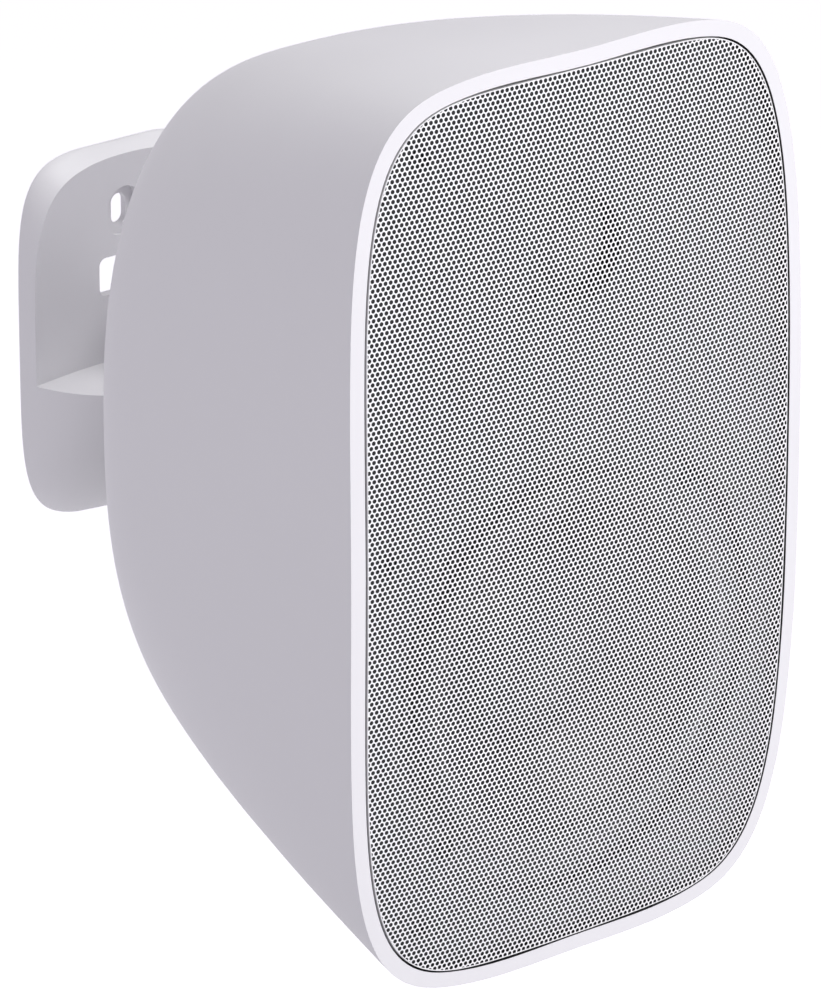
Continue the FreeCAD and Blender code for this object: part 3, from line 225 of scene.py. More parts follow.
class DialSizes(bpy.types.PropertyGroup):
    """Printed scale round the volume knob, and the knob's pointer."""

    tick_count: IntProperty(name="Ticks", description="Number of marks on the scale", default=11, min=2)
    sweep: FloatProperty(
        name="Sweep", description="Turn of the knob from the first mark to the last",
        default=math.radians(300.0), subtype="ANGLE")
    inner_radius: FloatProperty(
        name="Inner radius", description="Where the marks start",
        default=7.9 * MM, unit="LENGTH", precision=5)
    outer_radius: FloatProperty(
        name="Outer radius", description="Where the marks end",
        default=9.1 * MM, unit="LENGTH", precision=5)
    tick_width: FloatProperty(
        name="Tick width", description="Width of a mark",
        default=0.45 * MM, unit="LENGTH", precision=5)
    print_height: FloatProperty(
        name="Print height", description="Thickness of the printed marks",
        default=0.06 * MM, unit="LENGTH", precision=5)
    pointer_start: FloatProperty(
        name="Pointer start", description="Where the knob's pointer starts, from the knob's middle",
        default=2.2 * MM, unit="LENGTH", precision=5)
    pointer_end: FloatProperty(
        name="Pointer end", description="Where the knob's pointer ends, from the knob's middle",
        default=5.6 * MM, unit="LENGTH", precision=5)
    pointer_width: FloatProperty(
        name="Pointer width", description="Width of the knob's pointer",
        default=0.8 * MM, unit="LENGTH", precision=5)
    pointer_height: FloatProperty(
        name="Pointer height", description="Thickness of the knob's pointer",
        default=0.12 * MM, unit="LENGTH", precision=5)


class SpeakerColours(bpy.types.PropertyGroup):
    """Colours of the finishes."""

    shell: FloatVectorProperty(
        name="Shell", description="Moulded white plastic",
        default=(0.79, 0.785, 0.80), subtype="COLOR", size=3)
    sheet: FloatVectorProperty(
        name="Grille", description="Powder coat of the grille",
        default=(0.88, 0.88, 0.885), subtype="COLOR", size=3)
    baffle: FloatVectorProperty(
        name="Baffle", description="Black moulded plastic",
        default=(0.012, 0.012, 0.013), subtype="COLOR", size=3)
    rubber: FloatVectorProperty(
        name="Rubber", description="Roll of the woofer",
        default=(0.018, 0.018, 0.019), subtype="COLOR", size=3)
    print_white: FloatVectorProperty(
        name="Print", description="Printed marks",
        default=(0.8, 0.8, 0.8), subtype="COLOR", size=3)


class StageSizes(bpy.types.PropertyGroup):
    """Camera, lights and floor."""

    camera_place: FloatVectorProperty(
        name="Camera place", description="Where the camera stands",
        default=(-1.28864, FRONT_Y - 1.46638, 0.76871), subtype="TRANSLATION", size=3)
    camera_turn: FloatProperty(
        name="Camera turn", description="Turn of the view to the right",
        default=math.radians(39.7667), subtype="ANGLE")
    camera_dip: FloatProperty(
        name="Camera dip", description="How far the view looks down",
        default=math.radians(21.3841), subtype="ANGLE")
    lens: FloatProperty(
        name="Lens", description="Focal length in millimetres", default=260.865, min=1.0, unit="CAMERA")
    floor_drop: FloatProperty(
        name="Floor drop", description="Floor below the middle of the wall bracket",
        default=1.2, unit="LENGTH")
    floor_glow: FloatProperty(
        name="Floor glow", description="Light that the pale floor gives back, away from the speaker",
        default=0.79)
    # Painted shadow: under the speaker the floor's glow is cut to this share.
    floor_shade: FloatProperty(
        name="Floor shade", description="Share of that light left under the speaker",
        default=0.05, subtype="FACTOR")
    shade_reach: FloatProperty(
        name="Shade reach", description="Where the floor under the speaker starts to brighten",
        default=1.25, unit="LENGTH")
    bright_reach: FloatProperty(
        name="Bright reach", description="Where the floor has its full brightness",
        default=2.0, unit="LENGTH")
    sky: FloatVectorProperty(
        name="Sky", description="Even light from all round",
        default=(0.23, 0.217, 0.25), subtype="COLOR", size=3)
    right_power: FloatProperty(
        name="Right key", description="Soft light on the right", default=6.0, subtype="POWER")
    front_power: FloatProperty(
        name="Front key", description="Soft light in front", default=15.0, subtype="POWER")
    top_power: FloatProperty(
        name="Top", description="Overhead light", default=27.0, subtype="POWER")
    high_power: FloatProperty(
        name="High front", description="Light high in front", default=16.0, subtype="POWER")


class Signal:
    """One socket of a material. Arithmetic on it adds Math nodes, or Vector Math where a side is a vector."""

    def __init__(self, tree, socket):
        self.tree = tree
        self.socket = socket
        self.is_vector = socket.type == "VECTOR"

    @staticmethod
    def node(tree, kind, settings=None, sockets=None, output=0):
        """Adds any node. Its settings come first, then the values or links of its sockets."""
        made = tree.nodes.new(kind)
        for name, value in (settings or {}).items():
            setattr(made, name, value)
        for name, value in (sockets or {}).items():
            if isinstance(value, Signal):
                tree.links.new(value.socket, made.inputs[name])
            else:
                made.inputs[name].default_value = value
        return Signal(tree, made.outputs[output])

    def maths(self, operation, first, second=None):
        """Result of an operation on values or, where a side is a vector or a triple, on vectors."""
        sides = [side for side in (first, second) if side is not None]
        vector = any(isinstance(side, tuple) or getattr(side, "is_vector", False) for side in sides)
        kind = "ShaderNodeVectorMath" if vector else "ShaderNodeMath"
        if vector:
            sides = [(side, side, side) if isinstance(side, (int, float)) else side for side in sides]
        return Signal.node(self.tree, kind, {"operation": operation}, dict(enumerate(sides)))

    def __add__(self, other):
        return self.maths("ADD", self, other)

    def __radd__(self, other):
        return self.maths("ADD", other, self)

    def __sub__(self, other):
        return self.maths("SUBTRACT", self, other)

    def __rsub__(self, other):
        return self.maths("SUBTRACT", other, self)

    def __mul__(self, other):
        return self.maths("MULTIPLY", self, other)

    def __rmul__(self, other):
        return self.maths("MULTIPLY", other, self)

    def __truediv__(self, other):
        return self.maths("DIVIDE", self, other)

    def __rtruediv__(self, other):
        return self.maths("DIVIDE", other, self)

    def __pow__(self, other):
        return self.maths("POWER", self, other)

    def __gt__(self, other):
        return self.maths("GREATER_THAN", self, other)

    def __lt__(self, other):
        return self.maths("LESS_THAN", self, other)

    def sine(self):
        return self.maths("SINE", self)

    def root(self):
        return self.maths("SQRT", self)

    def magnitude(self):
        return self.maths("ABSOLUTE", self)

    def clamped(self):
        """The value held between 0 and 1."""
        return self.maths("MINIMUM", self.maths("MAXIMUM", self, 0.0), 1.0)

    def wave(self):
        """The sine of the value, moved to run from 0 to 1."""
        return self.sine() * 0.5 + 0.5

    def swing(self, span):
        """A value from 0 to 1, moved to run over that span with 0 in its middle."""
        return (self - 0.5) * span

    def parts(self):
        """The three numbers of a vector."""
        split = Signal.node(self.tree, "ShaderNodeSeparateXYZ", sockets={0: self})
        return [Signal(self.tree, output) for output in split.socket.node.outputs]

    def mix(self, low, high):
        """Colour from low to high as this value goes from 0 to 1."""
        low, high = [(*side, 1.0) if isinstance(side, tuple) else side for side in (low, high)]
        # A Mix node has sockets of every type: its colours go in at 6 and 7 and come out at 2.
        return Signal.node(self.tree, "ShaderNodeMix", {"data_type": "RGBA"}, {0: self, 6: low, 7: high}, 2)


class Finish:
    """A material in the making: its shader, and the place of a surface point on the piece."""

    def __init__(self, name, **constants):
        self.material = bpy.data.materials.new(name)
        self.material.use_nodes = True
        self.tree = self.material.node_tree
        self.shader = self.tree.nodes["Principled BSDF"]
        for socket, value in constants.items():
            self.shader.inputs[socket.replace("_", " ")].default_value = value
        self.place = Signal.node(self.tree, "ShaderNodeTexCoord", output="Object")

    def noise(self, size, detail=2.0, stretch=None):
        """Cloudy value whose patches are about that size, longer along an axis whose stretch is under one."""
        place = self.place * stretch if stretch else self.place
        sockets = {"Vector": place, "Scale": 1.0 / size, "Detail": detail}
        return Signal.node(self.tree, "ShaderNodeTexNoise", sockets=sockets, output="Fac")

    def cells(self, size, feature="F1"):
        """Distance to the middle, or to the edge, of random cells of about that size."""
        sockets = {"Vector": self.place, "Scale": 1.0 / size}
        return Signal.node(self.tree, "ShaderNodeTexVoronoi", {"feature": feature}, sockets, "Distance")

    def radius(self, x, z):
        """Distance from an axis along Y through (x, z)."""
        across, _, up = self.place.parts()
        right = across - x
        rise = up - z
        return (right * right + rise * rise).root()

    def feed(self, socket, signal):
        self.tree.links.new(signal.socket, self.shader.inputs[socket])

    def colour(self, signal, mask=None, dark=None):
        """Base colour, with the dark one, a painted shade, instead where the mask, a function of the finish,
        gives 1.
        """
        if mask:
            signal = mask(self).mix(signal, dark)
        self.feed("Base Color", signal)

    def bump(self, height, strength, distance):
        """Grain: a height from 0 to 1, as deep as the distance."""
        sockets = {"Height": height, "Strength": strength, "Distance": distance}
        self.feed("Normal", Signal.node(self.tree, "ShaderNodeBump", sockets=sockets))


def shade(colour, share):
    """A colour made darker or lighter by a share."""
    return tuple(min(1.0, channel * share) for channel in colour)


def front_depth(finish):
    """How far a point lies behind the domed front, whose fall is x^2 / 2R across and z^2 / 2R up and down."""
    across, along, up = finish.place.parts()
    fall = across * across * (0.5 / CROWN_ACROSS) + up * up * (0.5 / CROWN_ALONG)
    return along - FRONT_Y - fall


def front_level(finish, half_x, half_z):
    """|x / half_x|^m + |z / half_z|^n, which is 1 on the outline and more outside it."""
    across, _, up = finish.place.parts()
    level_x = (across.magnitude() / half_x) ** OUTLINE_POWER_X
    level_z = (up.magnitude() / half_z) ** OUTLINE_POWER_Z
    return level_x + level_z


def painted_pocket_shade(finish):
    """1 on the walls of the cabinet's pocket for the grille, which get painted shade in black: within its
    outline, behind the rim.
    """
    level = front_level(finish, GRILLE_CORNER.x + GRILLE_GAP, GRILLE_CORNER.z + GRILLE_GAP)
    depth = front_depth(finish)
    return (level < POCKET_LEVEL) * (depth > RIM_DEPTH) * (depth < POCKET_DEPTH)


def painted_skirt_shade(finish):
    """1 on the inside of the grille's folded edge and on the back of the sheet's rim, which get painted shade
    in black.
    """
    inset = bpy.context.scene.speaker_grille.edge_inset
    level = front_level(finish, GRILLE_CORNER.x - inset, GRILLE_CORNER.z - inset)
    return (level < SKIRT_LEVEL) * (front_depth(finish) > RIM_DEPTH)


def moulded_finish(name, colour, gloss, grain=0.35 * MM, depth=0.012 * MM, mask=None, dark=None):
    """Moulded plastic: fine spark grain, slow changes of tone and gloss, and painted shade in the dark colour
    where the mask says.
    """
    finish = Finish(name)
    clouds = finish.noise(60 * MM, detail=3.0)
    finish.colour(clouds.mix(shade(colour, 0.975), shade(colour, 1.02)), mask, dark)
    speck = finish.noise(grain)
    finish.feed("Roughness", gloss + clouds.swing(0.08) + speck.swing(0.06))
    finish.bump(speck, strength=0.6, distance=depth)
    return finish.material


def enamel_finish(name, colour, gloss, mask=None, dark=None):
    """Powder coat on steel: orange peel over slow changes of tone, and painted shade in the dark colour where
    the mask says.
    """
    finish = Finish(name, Coat_Weight=0.1, Coat_Roughness=0.25)
    clouds = finish.noise(25 * MM, detail=3.0)
    finish.colour(clouds.mix(shade(colour, 0.98), shade(colour, 1.02)), mask, dark)
    peel = finish.noise(0.6 * MM)
    finish.feed("Roughness", gloss + peel.swing(0.1))
    finish.bump(peel, strength=0.3, distance=0.01 * MM)
    return finish.material


def plated_finish(name, colour, gloss, stretch=None):
    """Plated or bare metal: fine drawn streaks and dull patches."""
    finish = Finish(name, Metallic=1.0)
    streaks = finish.noise(0.5 * MM, detail=3.0, stretch=stretch)
    clouds = finish.noise(6 * MM)
    finish.colour((streaks * 0.5 + clouds * 0.5).mix(shade(colour, 0.8), shade(colour, 1.15)))
    finish.feed("Roughness", gloss + streaks.swing(0.2) + clouds.swing(0.15))
    finish.bump(streaks, strength=0.2, distance=0.01 * MM)
    return finish.material


def rubber_finish(name, colour):
    """Butyl rubber: dull, mottled, with a dusty bloom."""
    finish = Finish(name, Specular_IOR_Level=0.35, Sheen_Weight=0.15, Sheen_Roughness=0.5)
    bloom = finish.noise(9 * MM, detail=4.0)
    finish.colour(bloom.mix(colour, shade(colour, 1.7)))
    finish.feed("Roughness", 0.52 + bloom.swing(0.2))
    finish.bump(finish.noise(0.3 * MM), strength=0.35, distance=0.02 * MM)
    return finish.material


def cone_finish(name, ring=1.1 * MM):
    """Filled polypropylene: rings from the mould round the woofer's axis, and mica flecks."""
    finish = Finish(name, Specular_IOR_Level=0.45)
    rings = (finish.radius(0.0, WOOFER_Z) * (2 * math.pi / ring)).wave()
    fleck = finish.noise(0.5 * MM, detail=3.0)
    finish.colour(fleck.mix((0.010, 0.010, 0.011), (0.034, 0.034, 0.036)))
    finish.feed("Roughness", 0.38 + fleck.swing(0.2))
    finish.bump(rings * 0.6 + fleck * 0.4, strength=0.3, distance=0.05 * MM)
    return finish.material


def dust_cap_finish(name):
    """Satin dust cap: a soft shine under faint dust."""
    finish = Finish(name, Specular_IOR_Level=0.4, Coat_Weight=0.1, Coat_Roughness=0.3)
    dust = finish.noise(2.5 * MM, detail=5.0)
    finish.colour((dust ** 4.0).mix((0.012, 0.012, 0.013), (0.05, 0.05, 0.052)))
    finish.feed("Roughness", 0.36 + dust * 0.12)
    finish.bump(finish.noise(7 * MM, detail=1.0), strength=0.1, distance=0.05 * MM)
    return finish.material


def woven_finish(name, dark, light, thread):
    """Plain weave: two crossed sets of threads, over and under."""
    finish = Finish(name, Sheen_Weight=0.2)
    across, _, up = finish.place.parts()
    warp = (across * (math.pi / thread)).sine()
    weft = (up * (math.pi / thread)).sine()
    weave = warp * weft * 0.5 + 0.5
    fuzz = finish.noise(0.8 * MM, detail=3.0)
    finish.colour((weave * 0.7 + fuzz * 0.3).mix(dark, light))
    finish.feed("Roughness", 0.75 + fuzz.swing(0.2))
    finish.bump(weave, strength=0.5, distance=0.05 * MM)
    return finish.material


def winding_finish(name, turn):
    """Lacquered copper wire: turns side by side along Y."""
    finish = Finish(name, Metallic=1.0)
    _, along, _ = finish.place.parts()
    turns = (along * (2 * math.pi / turn)).wave()
    clouds = finish.noise(3 * MM, detail=3.0)
    finish.colour((turns * 0.7 + clouds * 0.3).mix((0.24, 0.07, 0.02), (0.72, 0.30, 0.12)))
    finish.feed("Roughness", 0.3 + clouds * 0.2)
    finish.bump(turns, strength=0.6, distance=0.08 * MM)
    return finish.material


def ferrite_finish(name):
    """Pressed ferrite: dark, grainy, chalky."""
    finish = Finish(name, Specular_IOR_Level=0.4)
    grain = finish.cells(0.9 * MM)
    dust = finish.noise(5 * MM, detail=4.0)
    finish.colour((dust * 0.6 + grain * 0.4).mix((0.022, 0.021, 0.021), (0.07, 0.068, 0.066)))
    finish.feed("Roughness", 0.62 + dust.swing(0.25))
    finish.bump(grain, strength=0.4, distance=0.05 * MM)
    return finish.material


def board_finish(name, track=0.05, pad=0.14):
    """Circuit board: solder mask over copper tracks along cell edges, with tinned pads in cell middles."""
    finish = Finish(name, Coat_Weight=0.3, Coat_Roughness=0.2)
    tracks = finish.cells(6 * MM, "DISTANCE_TO_EDGE") < track
    pads = finish.cells(5 * MM) < pad
    solder_mask = tracks.mix((0.010, 0.085, 0.035), (0.03, 0.17, 0.06))
    finish.colour(pads.mix(solder_mask, (0.62, 0.60, 0.55)))
    finish.feed("Metallic", pads)
    finish.feed("Roughness", 0.42 - pads * 0.1 + finish.noise(2 * MM).swing(0.1))
    finish.bump(tracks, strength=0.3, distance=0.04 * MM)
    return finish.material


def can_finish(name, sleeve):
    """Sleeved capacitor: shrink sleeve with pale stripes along Y and faint wrinkles."""
    finish = Finish(name, Coat_Weight=0.3, Coat_Roughness=0.15)
    wrinkle = finish.noise(1.5 * MM, detail=3.0)
    stripe = finish.noise(9 * MM, detail=0.0, stretch=(1.0, 0.05, 1.0)) > 0.58
    finish.colour(stripe.mix(sleeve, (0.55, 0.58, 0.60)))
    finish.feed("Roughness", 0.3 + wrinkle * 0.15)
    finish.bump(wrinkle, strength=0.2, distance=0.05 * MM)
    return finish.material


def foam_finish(name):
    """Closed-cell foam strip: small pores."""
    finish = Finish(name, Specular_IOR_Level=0.3)
    pores = finish.cells(0.5 * MM)
    finish.colour(pores.mix((0.010, 0.010, 0.010), (0.045, 0.045, 0.046)))
    finish.feed("Roughness", 0.8 + pores * 0.15)
    finish.bump(pores, strength=0.6, distance=0.1 * MM)
    return finish.material


def tape_finish(name, z, laps_round=30.0):
    """Toroid wrapped in polyester tape: overlapping turns round the ring."""
    finish = Finish(name, Coat_Weight=0.4, Coat_Roughness=0.2)
    across, _, up = finish.place.parts()
    angle = across.maths("ARCTAN2", up - z, across)
    laps = (angle * laps_round).wave()
    clouds = finish.noise(4 * MM, detail=3.0)
    finish.colour((laps * 0.6 + clouds * 0.4).mix((0.34, 0.20, 0.02), (0.62, 0.42, 0.07)))
    finish.feed("Roughness", 0.3 + clouds * 0.2)
    finish.bump(laps, strength=0.5, distance=0.15 * MM)
    return finish.material


def jack_finish(name, collar_radius=4.4 * MM, core_radius=3.2 * MM, seat=0.2 * MM):
    """Phono jacks: nickel barrels on plastic collars, white on the left and red on the right."""
    finish = Finish(name)
    across, along, _ = finish.place.parts()
    right = across > (JACK_LEFT_X + JACK_RIGHT_X) / 2
    from_left = finish.radius(JACK_LEFT_X, JACK_Z)
    from_right = finish.radius(JACK_RIGHT_X, JACK_Z)
    off_axis = from_left + right * (from_right - from_left)
    collar = (off_axis > collar_radius) * (along > PANEL_Y - seat)
    core = (off_axis < core_radius) * (along > PANEL_Y)
    plastic = (collar + core) > 0.5
    dye = right.mix((0.62, 0.61, 0.58), (0.42, 0.012, 0.015))
    dull = finish.noise(2 * MM, detail=3.0)
    nickel = dull.mix((0.52, 0.50, 0.46), (0.72, 0.70, 0.66))
    finish.colour(plastic.mix(nickel, dye))
    finish.feed("Metallic", 1.0 - plastic)
    finish.feed("Roughness", 0.26 + dull * 0.12 + plastic * 0.15)
    finish.bump(dull, strength=0.1, distance=0.02 * MM)
    return finish.material


def print_finish(name, colour):
    """Screen print: opaque ink, slightly uneven."""
    finish = Finish(name)
    patchy = finish.noise(0.4 * MM, detail=3.0)
    finish.colour(patchy.mix(shade(colour, 0.85), colour))
    finish.feed("Roughness", 0.5 + patchy * 0.2)
    return finish.material


def floor_finish(name, sizes):
    """Pale floor that glows away from the speaker, with a painted shadow under it: a smooth step, 3 t^2 - 2
    t^3, of the distance.
    """
    finish = Finish(name, Roughness=0.9, Emission_Strength=sizes.floor_glow)
    finish.colour(finish.noise(0.8).mix((0.78, 0.78, 0.79), (0.8, 0.8, 0.81)))
    across, along, _ = finish.place.parts()
    distance = (across * across + along * along).root()
    away = ((distance - sizes.shade_reach) / (sizes.bright_reach - sizes.shade_reach)).clamped()
    bright = away * away * (3.0 - 2.0 * away)
    finish.feed("Emission Color", bright.mix(shade(GLOW_TINT, sizes.floor_shade), GLOW_TINT))
    return finish.material


def grid_quads(rows, columns, wrap_rows=False, wrap_columns=False):
    """Quads between the points of a grid that is numbered row by row, closed round where it wraps."""
    here = np.arange(rows if wrap_rows else rows - 1)[:, None]
    along = np.arange(columns if wrap_columns else columns - 1)[None, :]
    next_row = (here + 1) % rows
    beside = (along + 1) % columns
    corners = [(here, along), (here, beside), (next_row, beside), (next_row, along)]
    return np.stack([(row * columns + column).ravel() for row, column in corners], axis=1)


def joined(*meshes):
    """One array of points and one of quads from several."""
    offsets = np.cumsum([0] + [len(points) for points, _ in meshes])
    points = np.concatenate([points for points, _ in meshes])
    quads = np.concatenate([quads + offset for (_, quads), offset in zip(meshes, offsets)])
    return points, quads


def add_piece(name, points, quads, material, smooth_angle=None):
    """A mesh object at the origin from arrays of points and quads, shaded smooth up to an angle."""
    mesh = bpy.data.meshes.new(name)
    mesh.from_pydata(points, [], quads)
    if mesh.validate():
        raise RuntimeError(f"{name} has faces that can't be used")
    mesh.polygons.foreach_set("use_smooth", np.ones(len(quads), bool))
    if smooth_angle is not None:
        mesh.set_sharp_from_angle(angle=smooth_angle)
    mesh.materials.append(material)
    mesh.update()
    piece = bpy.data.objects.new(name, mesh)
    bpy.context.scene.collection.objects.link(piece)
    return piece


def weld_and_face_out(piece):
    """Merges doubled points at poles and turns every face outwards."""
    shape = bmesh.new()
    shape.from_mesh(piece.data)
    bmesh.ops.remove_doubles(shape, verts=shape.verts, dist=WELD_DISTANCE)
    bmesh.ops.recalc_face_normals(shape, faces=shape.faces)
    shape.to_mesh(piece.data)
    shape.free()
    piece.data.update()


def dome_y(x, z):
    """The domed front: its foremost point, plus the fall of a wide arc across and of a flatter one along."""
    across = CROWN_ACROSS - np.sqrt(CROWN_ACROSS ** 2 - x * x)
    along = CROWN_ALONG - np.sqrt(CROWN_ALONG ** 2 - z * z)
    return FRONT_Y + across + along


def outline_level(x, z, half_x, half_z):
    """|x / half_x|^m + |z / half_z|^n, which is 1 on the outline and more outside it."""
    return np.abs(x / half_x) ** OUTLINE_POWER_X + np.abs(z / half_z) ** OUTLINE_POWER_Z


def outline_slope(x, z, half_x, half_z):
    """Slope of the outline's level, which points straight out of the outline."""
    slope_x = OUTLINE_POWER_X * np.sign(x) * np.abs(x / half_x) ** (OUTLINE_POWER_X - 1) / half_x
    slope_z = OUTLINE_POWER_Z * np.sign(z) * np.abs(z / half_z) ** (OUTLINE_POWER_Z - 1) / half_z
    return slope_x, slope_z


def drawn_to_outline(x, z, half_x, half_z):
    """Points outside the outline moved straight in on to it, by Newton steps along the slope; others stay."""
    for _ in range(NEWTON_STEPS):
        beyond = np.maximum(outline_level(x, z, half_x, half_z) - 1.0, 0.0)
        slope_x, slope_z = outline_slope(x, z, half_x, half_z)
        steep = np.maximum(slope_x ** 2 + slope_z ** 2, LEAST_SLOPE)
        x = x - beyond * slope_x / steep
        z = z - beyond * slope_z / steep
    return x, z


def outline_path(half_x, half_z, count):
    """Evenly spaced points of the outline and their outward directions. The superellipse is given by its
    angle, as powers of the cosine and the sine, and then spaced by length."""
    angle = np.linspace(0.0, 2 * np.pi, OUTLINE_STEPS)
    x = half_x * np.sign(np.cos(angle)) * np.abs(np.cos(angle)) ** (2 / OUTLINE_POWER_X)
    z = half_z * np.sign(np.sin(angle)) * np.abs(np.sin(angle)) ** (2 / OUTLINE_POWER_Z)
    length = np.concatenate([[0.0], np.cumsum(np.hypot(np.diff(x), np.diff(z)))])
    at = np.linspace(0.0, length[-1], count, endpoint=False)
    x = np.interp(at, length, x)
    z = np.interp(at, length, z)
    out_x, out_z = outline_slope(x, z, half_x, half_z)
    size = np.hypot(out_x, out_z)
    return x, z, out_x / size, out_z / size


def perforated_sheet(sizes, half_x, half_z):
    """Sheet of staggered octagonal holes. Hole (i, j) stands at i pitches across, and half a pitch more where
    j is odd, and j - 1/2 row pitches up. Its corners lie at 22.5 degrees and every 45 degrees on, as far out
    as gives the area of the round hole. Five quads for each hole join its corners to its neighbours': one to
    the right, one to each hole above, and one in each gap between three holes. The points lie on the dome,
    and those outside the outline are drawn in to it, so the edge cuts through the last holes."""
    columns = int(half_x / sizes.hole_pitch) + SPARE_HOLES
    rows = int(half_z / sizes.row_pitch) + SPARE_HOLES
    row = np.arange(-rows, rows + 1)[:, None]
    column = np.arange(-columns, columns + 1)[None, :]
    odd = row % 2
    centre_x = (column + 0.5 * odd) * sizes.hole_pitch
    centre_z = (row - 0.5) * sizes.row_pitch + 0.0 * column
    corner = np.radians(22.5 + 45.0 * np.arange(8))
    reach = sizes.hole_width / 2 * math.sqrt(math.pi / (2 * math.sqrt(2)))
    x = (centre_x[:, :, None] + reach * np.cos(corner)).ravel()
    z = (centre_z[:, :, None] + reach * np.sin(corner)).ravel()
    wide = 2 * columns + 1
    down = np.arange(1, 2 * rows)[:, None]
    along = np.arange(1, 2 * columns - 1)[None, :]
    shift = (down - rows) % 2
    here = (down * wide + along) * 8
    beside = here + 8
    above = ((down + 1) * wide + along + shift) * 8
    below = ((down - 1) * wide + along + shift) * 8
    patches = [
        (here + 7, beside + 4, beside + 3, here),
        (here, above + 5, above + 4, here + 1),
        (beside + 2, above + 7, above + 6, beside + 3),
        (here, beside + 3, above + 6, above + 5),
        (here + 7, below + 2, below + 1, beside + 4),
    ]
    quads = np.concatenate([np.stack([c.ravel() for c in patch], axis=1) for patch in patches])
    outside = outline_level(x, z, half_x, half_z) > 1.0
    quads = quads[~outside[quads].all(axis=1)]
    x, z = drawn_to_outline(x, z, half_x, half_z)
    corner_x = x[quads]
    corner_z = z[quads]
    strips = (corner_x - np.roll(corner_x, 1, 1)) * (corner_z + np.roll(corner_z, 1, 1))
    area = 0.5 * np.abs(strips.sum(axis=1))
    quads = quads[area > LEAST_AREA]
    used, quads = np.unique(quads, return_inverse=True)
    x = x[used]
    z = z[used]
    return np.stack([x, dome_y(x, z), z], axis=1), quads.reshape(-1, 4)


def grille_skirt(sizes, half_x, half_z):
    """Folded edge: a closed profile of (inset, depth) carried round the outline. It rounds a quarter circle
    out of the sheet, goes straight back, and returns inside at the thickness of the wall, to tuck in under
    the sheet."""
    bend = sizes.edge_radius
    wall = sizes.skirt_wall
    back = sizes.skirt_depth
    tuck = 0.4 * bend
    turn = np.linspace(0.0, np.pi / 2, BEND_STEPS)
    inset = np.concatenate([bend * (1 - np.sin(turn)), [0.0, wall, wall, 2 * bend]])
    depth = np.concatenate([bend * (1 - np.cos(turn)), [back, back, 2 * bend, tuck]])
    x, z, out_x, out_z = outline_path(half_x, half_z, SKIRT_STEPS)
    px = x[:, None] - inset[None, :] * out_x[:, None]
    pz = z[:, None] - inset[None, :] * out_z[:, None]
    py = dome_y(px, pz) + depth[None, :]
    points = np.stack([px, py, pz], axis=2).reshape(-1, 3)
    return points, grid_quads(len(x), len(inset), True, True)


def turned_ring(radius, depth, z):
    """A closed profile of (radius, depth) turned once round the axis along Y at height z."""
    angle = np.linspace(0.0, 2 * np.pi, RING_STEPS, endpoint=False)[:, None]
    x = radius[None, :] * np.cos(angle)
    up = z + radius[None, :] * np.sin(angle)
    y = FRONT_Y + depth[None, :] + 0.0 * angle
    points = np.stack([x, y, up], axis=2).reshape(-1, 3)
    return points, grid_quads(RING_STEPS, len(radius), True, True)


def roll_profile(sizes, land_depth):
    """Half roll: two arcs a wall apart between the lands, by chord and rise, and the flat rim outside."""
    wall = sizes.wall
    chord = sizes.outer_radius - sizes.inner_radius
    share = np.linspace(0.0, np.pi, ROLL_STEPS)
    middle = (sizes.outer_radius + sizes.inner_radius) / 2
    outer_r = middle - chord / 2 * np.cos(share)
    outer_d = land_depth - sizes.rise * np.sin(share)
    inner_r = middle + (chord / 2 - wall) * np.cos(share)
    inner_d = land_depth + wall - sizes.rise * np.sin(share)
    rim = sizes.outer_radius + sizes.land
    radius = np.concatenate([outer_r, [rim, rim], inner_r, [sizes.inner_radius]])
    depth = np.concatenate([outer_d, [land_depth, land_depth + wall], inner_d, [land_depth + wall]])
    return radius, depth


def spider_profile(sizes, end, depth):
    """Corrugated ring: a sine of the radius from the bore to the outer land, and the same a wall behind."""
    share = np.linspace(0.0, 1.0, RIPPLE_STEPS)
    radius = sizes.spider_bore + (sizes.spider_rim - sizes.spider_bore) * share
    wave = depth - sizes.spider_ripple / 2 * np.sin(2 * np.pi * sizes.spider_ripples * share)
    radius = np.append(radius, end)
    wave = np.append(wave, depth)
    return np.concatenate([radius, radius[::-1]]), np.concatenate([wave, wave[::-1] + sizes.spider_wall])


def bend_with_cone(piece):
    """Bakes the ring's placement into its points and reads the points back."""
    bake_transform(piece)
    place = np.empty(len(piece.data.vertices) * 3)
    piece.data.vertices.foreach_get("co", place)
    place = place.reshape(-1, 3)


